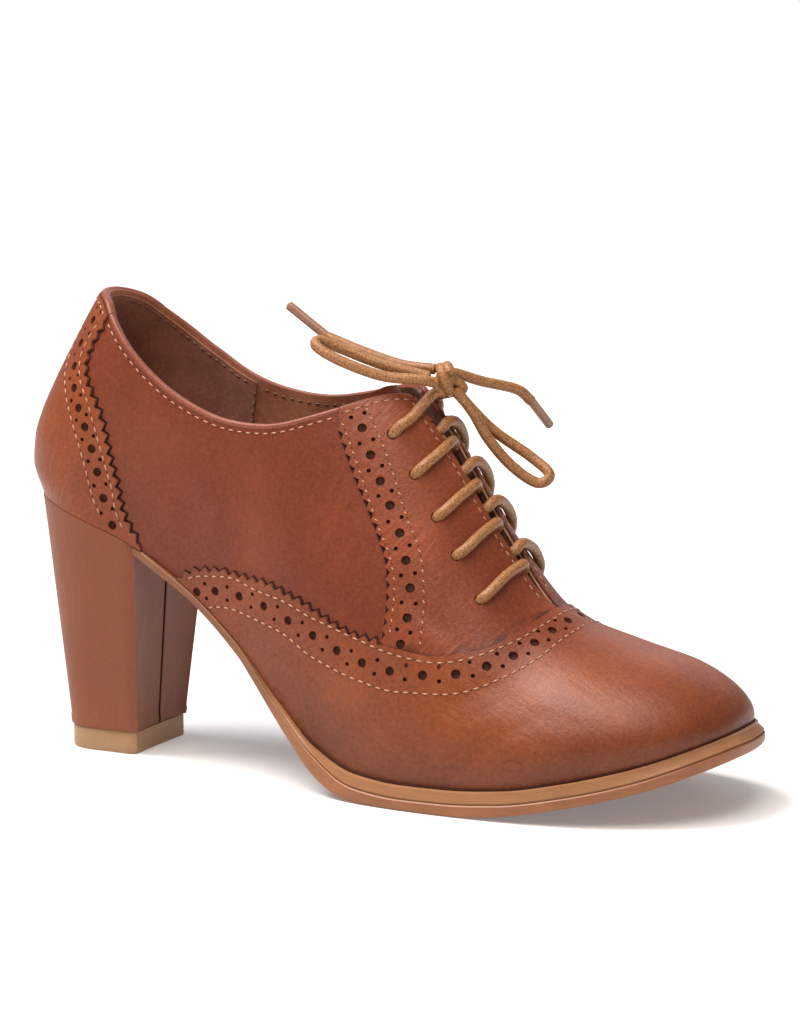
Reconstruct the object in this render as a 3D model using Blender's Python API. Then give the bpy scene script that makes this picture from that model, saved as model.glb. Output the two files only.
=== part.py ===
"""Lace-up heeled brogue ankle boot for a right foot, one closed solid for each piece.

Sizes are in millimetres until the meshes are made. Along the shoe, "at" runs from the heel's
rearmost point (0) to the toe. The lateral (little toe) side is -Y and the medial side is +Y.
A place on the leather is a station "at" and a "turn": 0 on the feather line, where the upper
meets the sole, and 1 on the ridge over the instep.
"""
from math import pi, radians

import bmesh
import bpy
import numpy as np
from mathutils import Vector

MM = 0.001
GAP = 0.3
RIB_POINTS = 11
STATION_STEP = 6.0
SIDES = {"lateral": -1, "medial": 1}

# Frame: the origin is under the middle of the shoe, on the floor.
MIDDLE_AT = 116.0
MIDDLE_Y = 0.0

# Leather layers, as depths below the outer face of the overlays.
OVERLAY = 0.9
UPPER_OUTER = OVERLAY + 0.7
UPPER_WALL = 1.7
UPPER_INNER = UPPER_OUTER + UPPER_WALL
TONGUE_OUTER = UPPER_INNER + 0.8
TONGUE_WALL = 1.6
TONGUE_HALF_WIDTH = 17.0
TONGUE_ENDS = (126.5, 186.0)
INSOLE_EDGE = UPPER_INNER + 0.6
INSOLE_THICK = 2.4

# The last: ends, end roundings, the inward tuck at the feather line and the toe's inward swing.
HEEL_LINE, TOE_TIP = 3.0, 228.8
HEEL_ROUND, HEEL_POWER = 27.0, 2.1
TOE_ROUND, TOE_POWER = 66.0, 2.4
TOE_RISE, RISE_POWER = 25.0, 2.5
TUCK, TUCK_TURN = 0.06, 0.29
TOE_SWING, SWING_FROM = 3.5, 140.0
BACK_LEAN_END = 105.0

# Throat between the facings.
THROAT_END = 172.0
THROAT_TOP = 134.0
VAMP_POINT = (155.5, 172.5)
THROAT_HALF = {"lateral": 5.0, "medial": 4.0}
CORNER_SOFT = 25.0

# Sole and heel.
BREAST_AT = 43.3
WELT_FROM = 101.0
WELT_STEP = 2.5
CHAMFER = 0.8
HEEL_FOOT = (12.3, 39.2)
HEEL_FOOT_HALF = 15.6
HEEL_FOOT_ROUND, HEEL_FOOT_POWER = 13.0, 2.6
TOP_PIECE = 6.8
TOP_PIECE_EDGE = -0.4

# Lace.
LACE = 3.2
EYELET = 3.4
BAR_DRIFT = 4.5
KNOT_AT = Vector((135.5, 0.0, 118.8))
KNOT_RADII = (3.4, 3.8, 4.2)
AGLET = 2.7


def table(columns, *rows):
    """A table with named columns, one row for each section."""
    return dict(zip(columns, np.array(rows, float).T))


# Half widths each side, height of the feather line and of the ridge, and squareness.
SECTIONS = table(
    ("at", "lateral", "medial", "feather", "ridge", "power"),
    (3, 26.5, 26.5, 79.8, 156.8, 2.25),
    (25, 26.5, 26.5, 73.4, 155.8, 2.25),
    (45, 25.5, 25.5, 65.5, 154.8, 2.25),
    (60, 25.5, 24.5, 56.4, 152.8, 2.2),
    (80, 28.0, 24.5, 41.0, 148.8, 2.2),
    (95, 32.0, 26.5, 26.6, 141.8, 2.1),
    (110, 36.0, 30.5, 14.2, 132.8, 1.9),
    (125, 39.5, 35.0, 8.3, 119.8, 1.75),
    (140, 41.5, 38.0, 7.1, 99.8, 1.65),
    (155, 42.2, 40.5, 7.3, 75.8, 1.62),
    (172, 42.6, 41.5, 8.7, 54.3, 1.75),
    (190, 43.2, 41.2, 12.2, 47.1, 1.95),
    (210, 43.4, 40.6, 17.4, 41.8, 2.05),
    (231, 43.2, 40.5, 25.0, 36.5, 2.1),
)

# How far the back of the heel leans forward at a height above the feather line.
BACK = table(
    ("height", "forward"),
    (0, 0), (8, -3), (16, -2.3), (24, 0.2), (32, 4), (40, 8.2), (50, 13.6), (60, 19.2), (90, 36),
)

# Height of the collar's edge.
COLLAR = table(
    ("at", "lateral", "medial"),
    (3, 140.3, 140.3),
    (9, 138.6, 137.5),
    (17, 133.4, 132.2),
    (26, 127.3, 127.0),
    (40, 118.0, 119.8),
    (55, 110.2, 113.2),
    (70, 105.8, 109.7),
    (85, 105.4, 108.8),
    (100, 108.3, 110.8),
    (112, 112.3, 113.8),
    (122, 115.4, 116.2),
    (134, 117.0, 117.4),
)

# Edges of the overlays.
WING_EDGE = table(
    ("at", "turn"),
    (57.0, 0.0), (65.0, 0.038), (72.0, 0.07), (79.0, 0.099), (86.0, 0.128), (94.0, 0.164),
    (102.0, 0.2), (110.0, 0.222), (117.0, 0.239), (124.0, 0.258), (131.0, 0.283), (138.0, 0.312),
    (146.0, 0.347), (154.0, 0.412), (161.5, 0.505), (167.5, 0.655), (171.0, 0.84), (172.5, 1.0),
)
COUNTER_EDGE = table(
    ("at", "turn"),
    (13.6, 0.54), (14.4, 0.42), (15.1, 0.37), (17.3, 0.33), (20.3, 0.294), (25.0, 0.261),
    (30.0, 0.224), (34.3, 0.177), (37.7, 0.131), (40.0, 0.1), (42.0, 0.05), (44.0, 0.018), (46.5, 0.0),
)
FACING_EDGE = table(
    ("at", "turn"),
    (111.0, 0.61), (117.7, 0.545), (121.6, 0.512), (125.9, 0.49), (129.3, 0.447), (132.2, 0.408),
    (133.6, 0.365), (134.0, 0.29),
)
EYELETS = table(
    ("at", "turn"),
    (126.4, 0.698), (134.1, 0.677), (141.8, 0.655), (148.5, 0.639), (156.7, 0.615),
)

# Sole: how far it stands out from the feather line, the welt's thickness and the tread's height.
SOLE = table(
    ("at", "edge", "welt", "tread"),
    (43, 0.3, 0.8, 63.2),
    (60, 0.3, 0.8, 53.2),
    (80, 0.4, 0.8, 36.9),
    (88, 0.9, 0.8, 28.5),
    (95, 1.4, 0.8, 20.9),
    (103, 2.0, 1.0, 12.6),
    (110, 2.5, 1.8, 6.1),
    (117, 2.7, 2.8, 2.1),
    (122, 2.8, 3.3, 0.7),
    (127, 2.8, 3.5, 0.0),
    (158, 2.8, 3.5, 0.0),
    (166, 2.8, 3.5, 0.6),
    (175, 2.8, 3.6, 1.9),
    (190, 2.8, 3.7, 5.0),
    (210, 2.8, 3.8, 10.0),
    (231, 3.0, 3.8, 17.4),
)

# Bow: the places that each strand passes, from the knot's middle.
STRANDS = {
    "lace_loop_lateral": (
        (-0.8, -4.6, -0.4), (-4.4, -8.0, 0.7), (-14.4, -12.5, 1.8), (-25.1, -17.0, 5.9),
        (-32.6, -17.6, 9.6), (-33.6, -14.6, 11.2), (-28.2, -11.0, 8.7), (-17.2, -7.0, 4.3),
        (-4.1, -2.4, 0.9),
    ),
    "lace_loop_medial": (
        (3.2, 0.6, -3.0), (7.6, 3.0, -9.6), (11.1, 6.0, -17.5), (16.7, 10.0, -25.6),
        (23.6, 13.0, -30.6), (26.6, 15.2, -28.2), (19.7, 16.0, -23.3), (9.5, 11.5, -15.4),
        (1.6, 3.6, -3.8),
    ),
    "lace_end_lateral": ((-4.1, 1.7, 2.6), (-14.4, 0.5, 3.4), (-26.8, -1.0, 6.9), (-37.5, -2.0, 10.6)),
    "lace_end_medial": ((0.4, 4.3, 1.4), (6.0, 12.0, -1.6), (13.1, 21.0, -4.7), (15.8, 25.5, -8.6)),
}
AGLET_REACH = {"lace_end_lateral": (-12.0, -1.8, 9.0), "lace_end_medial": (1.5, 10.0, -8.5)}

COLOURS = {
    "leather": ("#9A5433", 0.45),
    "heel_wrap": ("#8E4A34", 0.45),
    "lining": ("#7A5238", 0.8),
    "welt": ("#B58350", 0.5),
    "outsole": ("#9C6040", 0.55),
    "top_piece": ("#B08A5A", 0.6),
    "lace": ("#A8744A", 0.7),
    "aglet": ("#B98A78", 0.35),
}


def smooth(rows, column, x, key="at"):
    """Read a table at x by a cubic that never overshoots its rows."""
    xs, ys = rows[key], rows[column]
    step = np.diff(xs)
    slope = np.diff(ys) / step
    tangent = np.r_[slope[0], np.zeros(len(slope) - 1), slope[-1]]
    for i in range(1, len(slope)):
        before, after = slope[i - 1], slope[i]
        if before * after > 0:
            a, b = 2 * step[i] + step[i - 1], step[i] + 2 * step[i - 1]
            tangent[i] = (a + b) / (a / before + b / after)
    x = np.clip(x, xs[0], xs[-1])
    i = np.clip(np.searchsorted(xs, x, "right") - 1, 0, len(step) - 1)
    t = (x - xs[i]) / step[i]
    start = (1 + 2 * t) * (1 - t) ** 2 * ys[i] + t * (1 - t) ** 2 * step[i] * tangent[i]
    end = t * t * (3 - 2 * t) * ys[i + 1] + t * t * (t - 1) * step[i] * tangent[i + 1]
    return start + end


def ease(t):
    """0 to 1 with level ends."""
    t = np.clip(t, 0, 1)
    return t * t * (3 - 2 * t)


def rounded_end(distance, length, power):
    """Share of the full size at a distance from a rounded end."""
    return (1 - np.clip(1 - distance / length, 0, 1) ** power) ** (1 / power)


def feather(x):
    return smooth(SECTIONS, "feather", x)


def half_width(x, side):
    heel = rounded_end(x - HEEL_LINE, HEEL_ROUND, HEEL_POWER)
    toe = rounded_end(TOE_TIP - x, TOE_ROUND, TOE_POWER)
    return smooth(SECTIONS, side, x) * heel * toe


def rise(x):
    height = smooth(SECTIONS, "ridge", x) - feather(x)
    return height * rounded_end(TOE_TIP - x, TOE_RISE, RISE_POWER)


def surface(x, turn, side):
    """The outer face of the overlays at a station and turn."""
    x, turn = np.broadcast_arrays(np.asarray(x, float), np.asarray(turn, float))
    power = smooth(SECTIONS, "power", x)
    angle = turn * pi / 2
    out = np.cos(angle) ** (2 / power) - TUCK * np.clip(1 - turn / TUCK_TURN, 0, 1) ** 2
    up = rise(x) * np.sin(angle) ** (2 / power)
    lean = 1 - ease((x - HEEL_LINE) / (BACK_LEAN_END - HEEL_LINE))
    swing = TOE_SWING * ease((x - SWING_FROM) / (TOE_TIP - SWING_FROM))
    along = x + smooth(BACK, "forward", up, "height") * lean
    return np.stack([along, swing + SIDES[side] * half_width(x, side) * out, feather(x) + up], -1)


def side_normal(x, turn, side):
    """The outward direction on one side, level at the feather line."""
    x = np.clip(x, HEEL_LINE + 0.06, TOE_TIP - 0.06)
    low, high = max(turn - 0.02, 0), min(turn + 0.02, 1)
    along = surface(x + 0.05, turn, side) - surface(x - 0.05, turn, side)
    across = surface(x, high, side) - surface(x, low, side)
    normal = np.cross(along, across) * -SIDES[side]
    normal[2] *= ease(turn / TUCK_TURN)
    return normal / np.linalg.norm(normal)


def place(x, turn, side, depth):
    """A point at a depth below the outer face, or above it where the depth is negative."""
    if x >= TOE_TIP:
        normal = np.array((1.0, 0.0, 0.0))
    elif x <= HEEL_LINE or turn >= 1:
        normal = side_normal(x, turn, "lateral") + side_normal(x, turn, "medial")
        normal /= np.linalg.norm(normal)
    else:
        normal = side_normal(x, turn, side)
    point = surface(x, turn, side) - normal * depth
    point[2] += (feather(point[0]) - feather(x)) * (1 - ease(turn / TUCK_TURN))
    return point


def turn_at_height(x, height):
    share = np.clip((height - feather(x)) / rise(x), 0, 1)
    return np.arcsin(share ** (smooth(SECTIONS, "power", x) / 2)) / (pi / 2)


def turn_at_width(x, width, side):
    share = np.clip(width / half_width(x, side), 0, 1)
    return np.arccos(share ** (smooth(SECTIONS, "power", x) / 2)) / (pi / 2)


def upper_edge(x, side):
    """Top edge of the upper: collar, then throat, then the closed ridge."""
    if x >= THROAT_END:
        return 1.0
    collar = turn_at_height(x, smooth(COLLAR, side, x))
    if x < BACK_LEAN_END:
        return collar
    open_half = THROAT_HALF[side] * min(1, (THROAT_END - x) / 40) ** 0.5
    throat = turn_at_width(x, open_half, side)
    if x >= THROAT_TOP:
        return throat
    return -np.log(np.exp(-CORNER_SOFT * collar) + np.exp(-CORNER_SOFT * throat)) / CORNER_SOFT


def wing_edge(x, side):
    return min(1.0, float(smooth(WING_EDGE, "turn", x)))


def counter_edge(x, side):
    if x < COUNTER_EDGE["at"][0]:
        return upper_edge(x, side)
    return min(upper_edge(x, side), float(smooth(COUNTER_EDGE, "turn", x)))


def facing_edge(x, side):
    """Lower edge of a facing: its own back edge, then the wing's edge."""
    seam = wing_edge(x, side) + 0.008
    if x < FACING_EDGE["at"][-1]:
        return min(upper_edge(x, side), max(seam, float(smooth(FACING_EDGE, "turn", x))))
    return min(upper_edge(x, side), seam)


def feather_edge(x, side):
    return 0.0


def tongue_edge(x, side):
    return turn_at_width(x, TONGUE_HALF_WIDTH, side)


def ridge_edge(x, side):
    return 1.0


def rib(x, side, low, high):
    """The upper's own rib, evenly spaced along the leather, cut to an edge at each end."""
    whole = np.linspace(0, max(high, upper_edge(x, side)), 60)
    run = np.linalg.norm(np.diff(surface(x, whole, side), axis=0), axis=1)
    length = np.r_[0, np.cumsum(run)]
    turns = np.interp(np.linspace(0, length[-1], RIB_POINTS), length, whole)
    near = 0.3 * turns[-1] / RIB_POINTS
    turns[turns > high - near] = high
    turns[turns < low + near] = low
    return turns


def stations(start, end):
    """Stations from start to end, closer together in the rounded heel and toe and below the throat."""
    toe_from = TOE_TIP - 36
    heel = HEEL_LINE + HEEL_ROUND * (1 - np.cos(np.linspace(0, pi / 2, 8)))
    waist = np.arange(heel[-1] + STATION_STEP, VAMP_POINT[0] - 2, STATION_STEP)
    point = np.linspace(*VAMP_POINT, 7)
    vamp = np.linspace(VAMP_POINT[1], toe_from, 5)[1:-1]
    toe = toe_from + (TOE_TIP - toe_from) * np.sin(np.linspace(0, pi / 2, 8))
    every = np.r_[heel, waist, point, vamp, toe]
    clear = np.where(every > toe_from, 0, STATION_STEP / 5)
    inside = every[(every > start + clear) & (every < end - clear)]
    return np.r_[start, inside, end]


def finish_mesh(name, points, faces, colour):
    """A mesh object from points in millimetres, with its faces turned outward."""
    bm = bmesh.new()
    verts = [bm.verts.new(((p[0] - MIDDLE_AT) * MM, (p[1] - MIDDLE_Y) * MM, p[2] * MM)) for p in points]
    for face in faces:
        bm.faces.new([verts[i] for i in face])
    bmesh.ops.recalc_face_normals(bm, faces=bm.faces)
    mesh = bpy.data.meshes.new(name)
    bm.to_mesh(mesh)
    bm.free()
    mesh.shade_smooth()
    mesh.set_sharp_from_angle(angle=radians(40))
    return add_object(name, mesh, colour)


def add_object(name, data, colour):
    obj = bpy.data.objects.new(name, data)
    data.materials.append(MATERIALS[colour])
    PARTS.objects.link(obj)
    return obj


def panel(name, at, low, high, layers, colour, sides=("lateral", "medial")):
    """A leather panel between two edges, lofted from rib to rib in two layers and closed."""
    names, points, outer_faces = {}, [[], []], []

    def corner(i, turn, side):
        x = at[i]
        shared = x <= HEEL_LINE or turn >= 1
        key = "tip" if x >= TOE_TIP else (i, turn, "shared" if shared else side)
        if key not in names:
            names[key] = len(names)
            for layer, depth in enumerate(layers):
                points[layer].append(place(x, turn, side, depth))
        return names[key]

    for side in sides:
        ribs = [rib(x, side, low(x, side), high(x, side)) for x in at]
        grid = [[corner(i, turn, side) for turn in turns] for i, turns in enumerate(ribs)]
        for one, two in zip(grid, grid[1:]):
            for j in range(RIB_POINTS - 1):
                loop = [one[j], two[j], two[j + 1], one[j + 1]]
                loop = loop if side == "lateral" else loop[::-1]
                face = [v for k, v in enumerate(loop) if v != loop[k - 1]]
                if len(face) > 2:
                    outer_faces.append(face)

    shift = len(names)
    faces = outer_faces + [[v + shift for v in face[::-1]] for face in outer_faces]
    edges = {(f[k - 1], f[k]) for f in outer_faces for k in range(len(f))}
    faces += [[b, a, a + shift, b + shift] for a, b in edges if (b, a) not in edges]
    return finish_mesh(name, points[0] + points[1], faces, colour)


def plate(name, at, rows, colour):
    """A sole layer: each row gives its edge outside the feather line and its height, from the top."""
    rings, points = [], []
    for x in at:
        ring = []
        for side, order in (("lateral", rows), ("medial", rows[::-1])):
            for edge, height in order:
                p = place(x, 0, side, -edge(x))
                ring.append((p[0], p[1], float(height(p[0]))))
        rings.append(ring)
    count = len(rows)
    tip = at[-1] >= TOE_TIP
    index = []
    for i, ring in enumerate(rings):
        row = []
        for k, p in enumerate(ring):
            if tip and i == len(rings) - 1 and k >= count:
                row.append(row[2 * count - 1 - k])
                continue
            row.append(len(points))
            points.append(p)
        index.append(row)
    faces = []
    for one, two in zip(index, index[1:]):
        for k in range(len(one)):
            loop = [one[k - 1], one[k], two[k], two[k - 1]]
            face = [v for n, v in enumerate(loop) if v != loop[n - 1]]
            if len(face) > 2:
                faces.append(face)
    faces.append(index[0])
    if not tip:
        faces.append(index[-1][::-1])
    return finish_mesh(name, points, faces, colour)


def heel_loft(name, levels, colour):
    """A heel between the seat's outline (level 0) and its foot's outline (level 1)."""
    shares = 1 - np.cos(np.linspace(0, pi / 2, 9))
    outline = [(s, -1) for s in shares[::-1]] + [(s, 1) for s in shares[1:]]
    points = []
    for level in levels:
        for share, sign in outline:
            side = "lateral" if sign < 0 else "medial"
            x = HEEL_LINE + share * (BREAST_AT - HEEL_LINE)
            seat = surface(x, 0, side)
            seat[2] -= GAP
            foot_x = HEEL_FOOT[0] + share * (HEEL_FOOT[1] - HEEL_FOOT[0])
            round_end = rounded_end(foot_x - HEEL_FOOT[0], HEEL_FOOT_ROUND, HEEL_FOOT_POWER)
            foot = np.array((foot_x, sign * HEEL_FOOT_HALF * round_end, TOP_PIECE + GAP))
            points.append(seat + (foot - seat) * level)
    count = len(outline)
    faces = [list(range(count)), list(range(len(points) - count, len(points)))[::-1]]
    for row in range(len(levels) - 1):
        for k in range(count):
            a, b = row * count + k, row * count + (k + 1) % count
            faces.append([a, b, b + count, a + count])
    return finish_mesh(name, points, faces, colour)


def top_piece(name, colour):
    """The rubber lift under the heel, set a little inside the heel's foot."""
    low, high = HEEL_FOOT[0] - TOP_PIECE_EDGE, HEEL_FOOT[1] + TOP_PIECE_EDGE
    xs = low + (high - low) * (1 - np.cos(np.linspace(0, pi / 2, 12)))
    half = (HEEL_FOOT_HALF + TOP_PIECE_EDGE) * rounded_end(xs - low, HEEL_FOOT_ROUND, HEEL_FOOT_POWER)
    outline = list(zip(xs, -half))[::-1] + list(zip(xs, half))[1:]
    count = len(outline)
    points = [(x, y, z) for z in (TOP_PIECE, 0.0) for x, y in outline]
    faces = [list(range(count)), list(range(count, 2 * count))[::-1]]
    faces += [[k, (k + 1) % count, (k + 1) % count + count, k + count] for k in range(count)]
    return finish_mesh(name, points, faces, colour)


def cord(name, route, thick, colour):
    """A round cord along a route."""
    data = bpy.data.curves.new(name, "CURVE")
    data.dimensions = "3D"
    data.bevel_depth = thick / 2 * MM
    data.bevel_resolution = 2
    data.use_fill_caps = True
    spline = data.splines.new("POLY")
    spline.points.add(len(route) - 1)
    for point, p in zip(spline.points, route):
        point.co = ((p[0] - MIDDLE_AT) * MM, (p[1] - MIDDLE_Y) * MM, p[2] * MM, 1)
    return add_object(name, data, colour)


def lace_bar(name, at, turn):
    """One row of lace, laid over both facings from eyelet to eyelet."""
    route = []
    for t in np.linspace(-1, 1, 9):
        side = "lateral" if t < 0 else "medial"
        across = 1 - abs(t)
        over = turn + (1 - turn) * across
        route.append(place(at + BAR_DRIFT * across, over, side, -(LACE / 2 + GAP)))
    return cord(name, route, LACE, "lace")


def through(places, count):
    """Points on a smooth curve through a few places."""
    places = np.array(places, float)
    padded = np.vstack([2 * places[0] - places[1], places, 2 * places[-1] - places[-2]])
    route = []
    for u in np.linspace(0, len(places) - 1, count):
        i = min(int(u), len(places) - 2)
        t = u - i
        a, b, c, d = padded[i:i + 4]
        bend = (2 * a - 5 * b + 4 * c - d) * t ** 2 + (3 * b - 3 * c + d - a) * t ** 3
        route.append(Vector(b + 0.5 * ((c - a) * t + bend)))
    return route


def strand(name, places):
    """One loop or end of the bow, and the aglet on an end."""
    route = [KNOT_AT + p for p in through(places, 2 * len(places) - 1)]
    cord(name, route, LACE, "lace")
    if name in AGLET_REACH:
        reach = Vector(AGLET_REACH[name])
        start = route[-1] + reach.normalized() * 2 * GAP
        cord(name.replace("lace_end", "aglet"), [start + reach * t for t in (0, 0.5, 1)], AGLET, "aglet")


def knot(name):
    """The knot, a rounded lump on the top row of lace."""
    bm = bmesh.new()
    bmesh.ops.create_uvsphere(bm, u_segments=14, v_segments=8, radius=1)
    mesh = bpy.data.meshes.new(name)
    for vert in bm.verts:
        place_at = Vector(a * b for a, b in zip(vert.co, KNOT_RADII)) + KNOT_AT
        vert.co = (place_at - Vector((MIDDLE_AT, MIDDLE_Y, 0))) * MM
    bm.to_mesh(mesh)
    bm.free()
    mesh.shade_smooth()
    return add_object(name, mesh, "lace")


def punch_eyelets(targets, side):
    """Cut the eyelets of one side through its facing and the upper."""
    bm = bmesh.new()
    for at, turn in zip(EYELETS["at"], EYELETS["turn"]):
        centre = place(at, turn, side, 1.5)
        axis = Vector(place(at, turn, side, -1.0) - place(at, turn, side, 1.0))
        turned = axis.to_track_quat("Z", "Y").to_matrix().to_4x4()
        turned.translation = Vector((centre[0] - MIDDLE_AT, centre[1] - MIDDLE_Y, centre[2])) * MM
        bmesh.ops.create_cone(bm, cap_ends=True, segments=10, radius1=EYELET / 2 * MM,
                              radius2=EYELET / 2 * MM, depth=9 * MM, matrix=turned)
    mesh = bpy.data.meshes.new("eyelet_punch_" + side)
    bm.to_mesh(mesh)
    bm.free()
    cutter = bpy.data.objects.new("eyelet_punch_" + side, mesh)
    cutter.hide_render = True
    cutter.display_type = "WIRE"
    CUTTERS.objects.link(cutter)
    for target in targets:
        cut = target.modifiers.new("eyelets_" + side, "BOOLEAN")
        cut.operation = "DIFFERENCE"
        cut.solver = "EXACT"
        cut.object = cutter


def material(name, colour, roughness):
    made = bpy.data.materials.new(name)
    made.use_nodes = True
    shader = made.node_tree.nodes["Principled BSDF"]
    srgb = np.array([int(colour[i:i + 2], 16) / 255 for i in (1, 3, 5)])
    linear = np.where(srgb <= 0.04045, srgb / 12.92, ((srgb + 0.055) / 1.055) ** 2.4)
    shader.inputs["Base Color"].default_value = (*linear, 1)
    shader.inputs["Roughness"].default_value = roughness
    shader.inputs["Metallic"].default_value = 0
    return made


def collection(name):
    made = bpy.data.collections.new(name)
    bpy.context.scene.collection.children.link(made)
    return made


def build_upper():
    upper = panel("upper", stations(HEEL_LINE, TOE_TIP), feather_edge, upper_edge,
                  (UPPER_OUTER, UPPER_INNER), "leather")
    layers = (0.0, OVERLAY)
    panel("vamp_overlay", stations(WING_EDGE["at"][0], TOE_TIP), feather_edge, wing_edge, layers, "leather")
    heel = np.r_[stations(HEEL_LINE, COUNTER_EDGE["at"][0]), COUNTER_EDGE["at"][1:]]
    panel("counter_overlay", heel, feather_edge, counter_edge, layers, "leather")
    front = np.r_[FACING_EDGE["at"], stations(FACING_EDGE["at"][-1], VAMP_POINT[1])[1:-1]]
    for side in SIDES:
        facing = panel("facing_" + side, front, facing_edge, upper_edge, layers, "leather", (side,))
        punch_eyelets((upper, facing), side)
    panel("tongue", stations(*TONGUE_ENDS), tongue_edge, ridge_edge,
          (TONGUE_OUTER, TONGUE_OUTER + TONGUE_WALL), "lining")


def build_sole():
    inside = stations(HEEL_LINE, TOE_TIP)
    plate("insole", inside, (
        (lambda x: -INSOLE_EDGE, lambda x: feather(x) + INSOLE_THICK),
        (lambda x: -INSOLE_EDGE, feather),
    ), "lining")

    def edge(x):
        return smooth(SOLE, "edge", x)

    def welt_low(x):
        return feather(x) - GAP - smooth(SOLE, "welt", x)

    def outsole_top(x):
        under_welt = x > WELT_FROM - WELT_STEP
        return welt_low(x) - GAP if under_welt else feather(x) - GAP

    def tread(x):
        return smooth(SOLE, "tread", x)

    plate("welt", stations(WELT_FROM, TOE_TIP), (
        (edge, lambda x: feather(x) - GAP),
        (edge, welt_low),
    ), "welt")
    step = (WELT_FROM - WELT_STEP - 0.5, WELT_FROM - WELT_STEP + 1.5)
    long = np.r_[stations(BREAST_AT + GAP, step[0]), stations(step[1], TOE_TIP)]
    plate("outsole", long, (
        (lambda x: edge(x) + 0.3, outsole_top),
        (lambda x: edge(x) + 0.3, lambda x: tread(x) + CHAMFER),
        (lambda x: edge(x) + 0.3 - CHAMFER, tread),
    ), "outsole")
    heel_loft("heel_block", (0.0, 0.25, 0.5, 0.75, 1.0), "heel_wrap")
    top_piece("heel_top_piece", "top_piece")


def build_lace():
    for row, (at, turn) in enumerate(zip(EYELETS["at"], EYELETS["turn"]), 1):
        lace_bar(f"lace_bar_{row}", at, turn)
    knot("lace_knot")
    for name, places in STRANDS.items():
        strand(name, places)


for old in list(bpy.data.objects):
    bpy.data.objects.remove(old)
PARTS = collection("ankle_boot")
CUTTERS = collection("cutters")
MATERIALS = {name: material(name, *look) for name, look in COLOURS.items()}
build_upper()
build_sole()
build_lace()
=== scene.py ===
"""Looks of the heeled lace-up brogue shoe, a right shoe in brown leather.

Sizes are in millimetres until a mesh is made. A place on the leather is a station "at", counted
from the heel's rearmost point to the toe, a "turn", 0 on the feather line where the upper meets the
sole and 1 on the ridge over the instep, and a side, -1 for the lateral (little toe) side and 1 for
the medial side. A depth is counted inward from the outer face of the overlays.
"""
from math import cos, pi, radians, sin

import bmesh
import bpy
import numpy as np
from mathutils import Matrix, Quaternion, Vector


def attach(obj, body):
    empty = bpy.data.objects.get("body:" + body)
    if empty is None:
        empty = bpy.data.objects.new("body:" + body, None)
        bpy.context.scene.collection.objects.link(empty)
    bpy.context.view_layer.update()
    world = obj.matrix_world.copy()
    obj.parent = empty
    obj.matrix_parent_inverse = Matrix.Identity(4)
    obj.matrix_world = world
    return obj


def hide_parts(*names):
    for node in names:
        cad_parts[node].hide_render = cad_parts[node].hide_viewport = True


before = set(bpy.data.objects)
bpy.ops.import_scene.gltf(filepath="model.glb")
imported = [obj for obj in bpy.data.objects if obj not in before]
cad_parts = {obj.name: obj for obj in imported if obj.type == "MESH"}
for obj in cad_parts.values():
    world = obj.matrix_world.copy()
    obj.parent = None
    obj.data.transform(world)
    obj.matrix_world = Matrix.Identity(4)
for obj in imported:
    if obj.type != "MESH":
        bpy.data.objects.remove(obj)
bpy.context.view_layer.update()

bl_info = {
    "name": "Heeled brogue shoe",
    "version": (1, 0, 0),
    "blender": (4, 5, 0),
    "location": "3D View > Sidebar > Shoe",
    "description": "Dresses the packed shoe in leather, lace, lining and sole",
    "category": "Object",
}

MM = 0.001
MIDDLE_AT = 116.0
BOTH = (-1, 1)

# The last, as in the part's source.
HEEL_LINE, TOE_TIP = 3.0, 228.8
HEEL_ROUND, HEEL_POWER = 27.0, 2.1
TOE_ROUND, TOE_POWER = 66.0, 2.4
TOE_RISE, RISE_POWER = 25.0, 2.5
TUCK, TUCK_TURN = 0.06, 0.29
TOE_SWING, SWING_FROM = 3.5, 140.0
BACK_LEAN_END = 105.0
THROAT_END, THROAT_TOP = 172.0, 134.0
THROAT_HALF = {-1: 5.0, 1: 4.0}
CORNER_SOFT = 25.0
BREAST_AT = 43.3
HEEL_FOOT = (12.3, 39.2)
HEEL_FOOT_HALF = 15.6
HEEL_FOOT_ROUND, HEEL_FOOT_POWER = 13.0, 2.6
TOP_PIECE = 6.8
KNOT_AT = np.array((135.5, 0.0, 118.8))

# Depths of the layers, below the outer face of the overlays, and their walls.
QUARTER_FACE, QUARTER_WALL = 0.95, 1.9
LINING_FACE = QUARTER_FACE + QUARTER_WALL
GRIP_FACE, GRIP_WALL = LINING_FACE + 0.05, 0.6
SHADOW_FACE = QUARTER_FACE - 0.04
HOLE_SHADE_FACE = 0.84
UNDER_LACE = 5.3
TONGUE_FACE, TONGUE_WALL = 7.1, 1.6

# The collar: where it is rounded off, its roll, and the insets of its stitches and overlays.
COLLAR_ROUNDED, ROUNDING = (35.0, 118.0), 7.0
ROLL_INSET, ROLL_RADIUS, ROLL_END = 0.75, 0.95, 132.0
RAW_EDGE_RADIUS = 0.3
COLLAR_STITCH, THROAT_STITCH, LINING_STITCH = 2.7, 2.4, 2.6
THROAT_STITCH_END, LINING_STITCH_END = 168.0, 125.0
COUNTER_INSET, FACING_INSET, GRIP_INSET = 1.6, 0.8, 1.4
FACING_THROAT_FROM = 131.0

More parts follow.
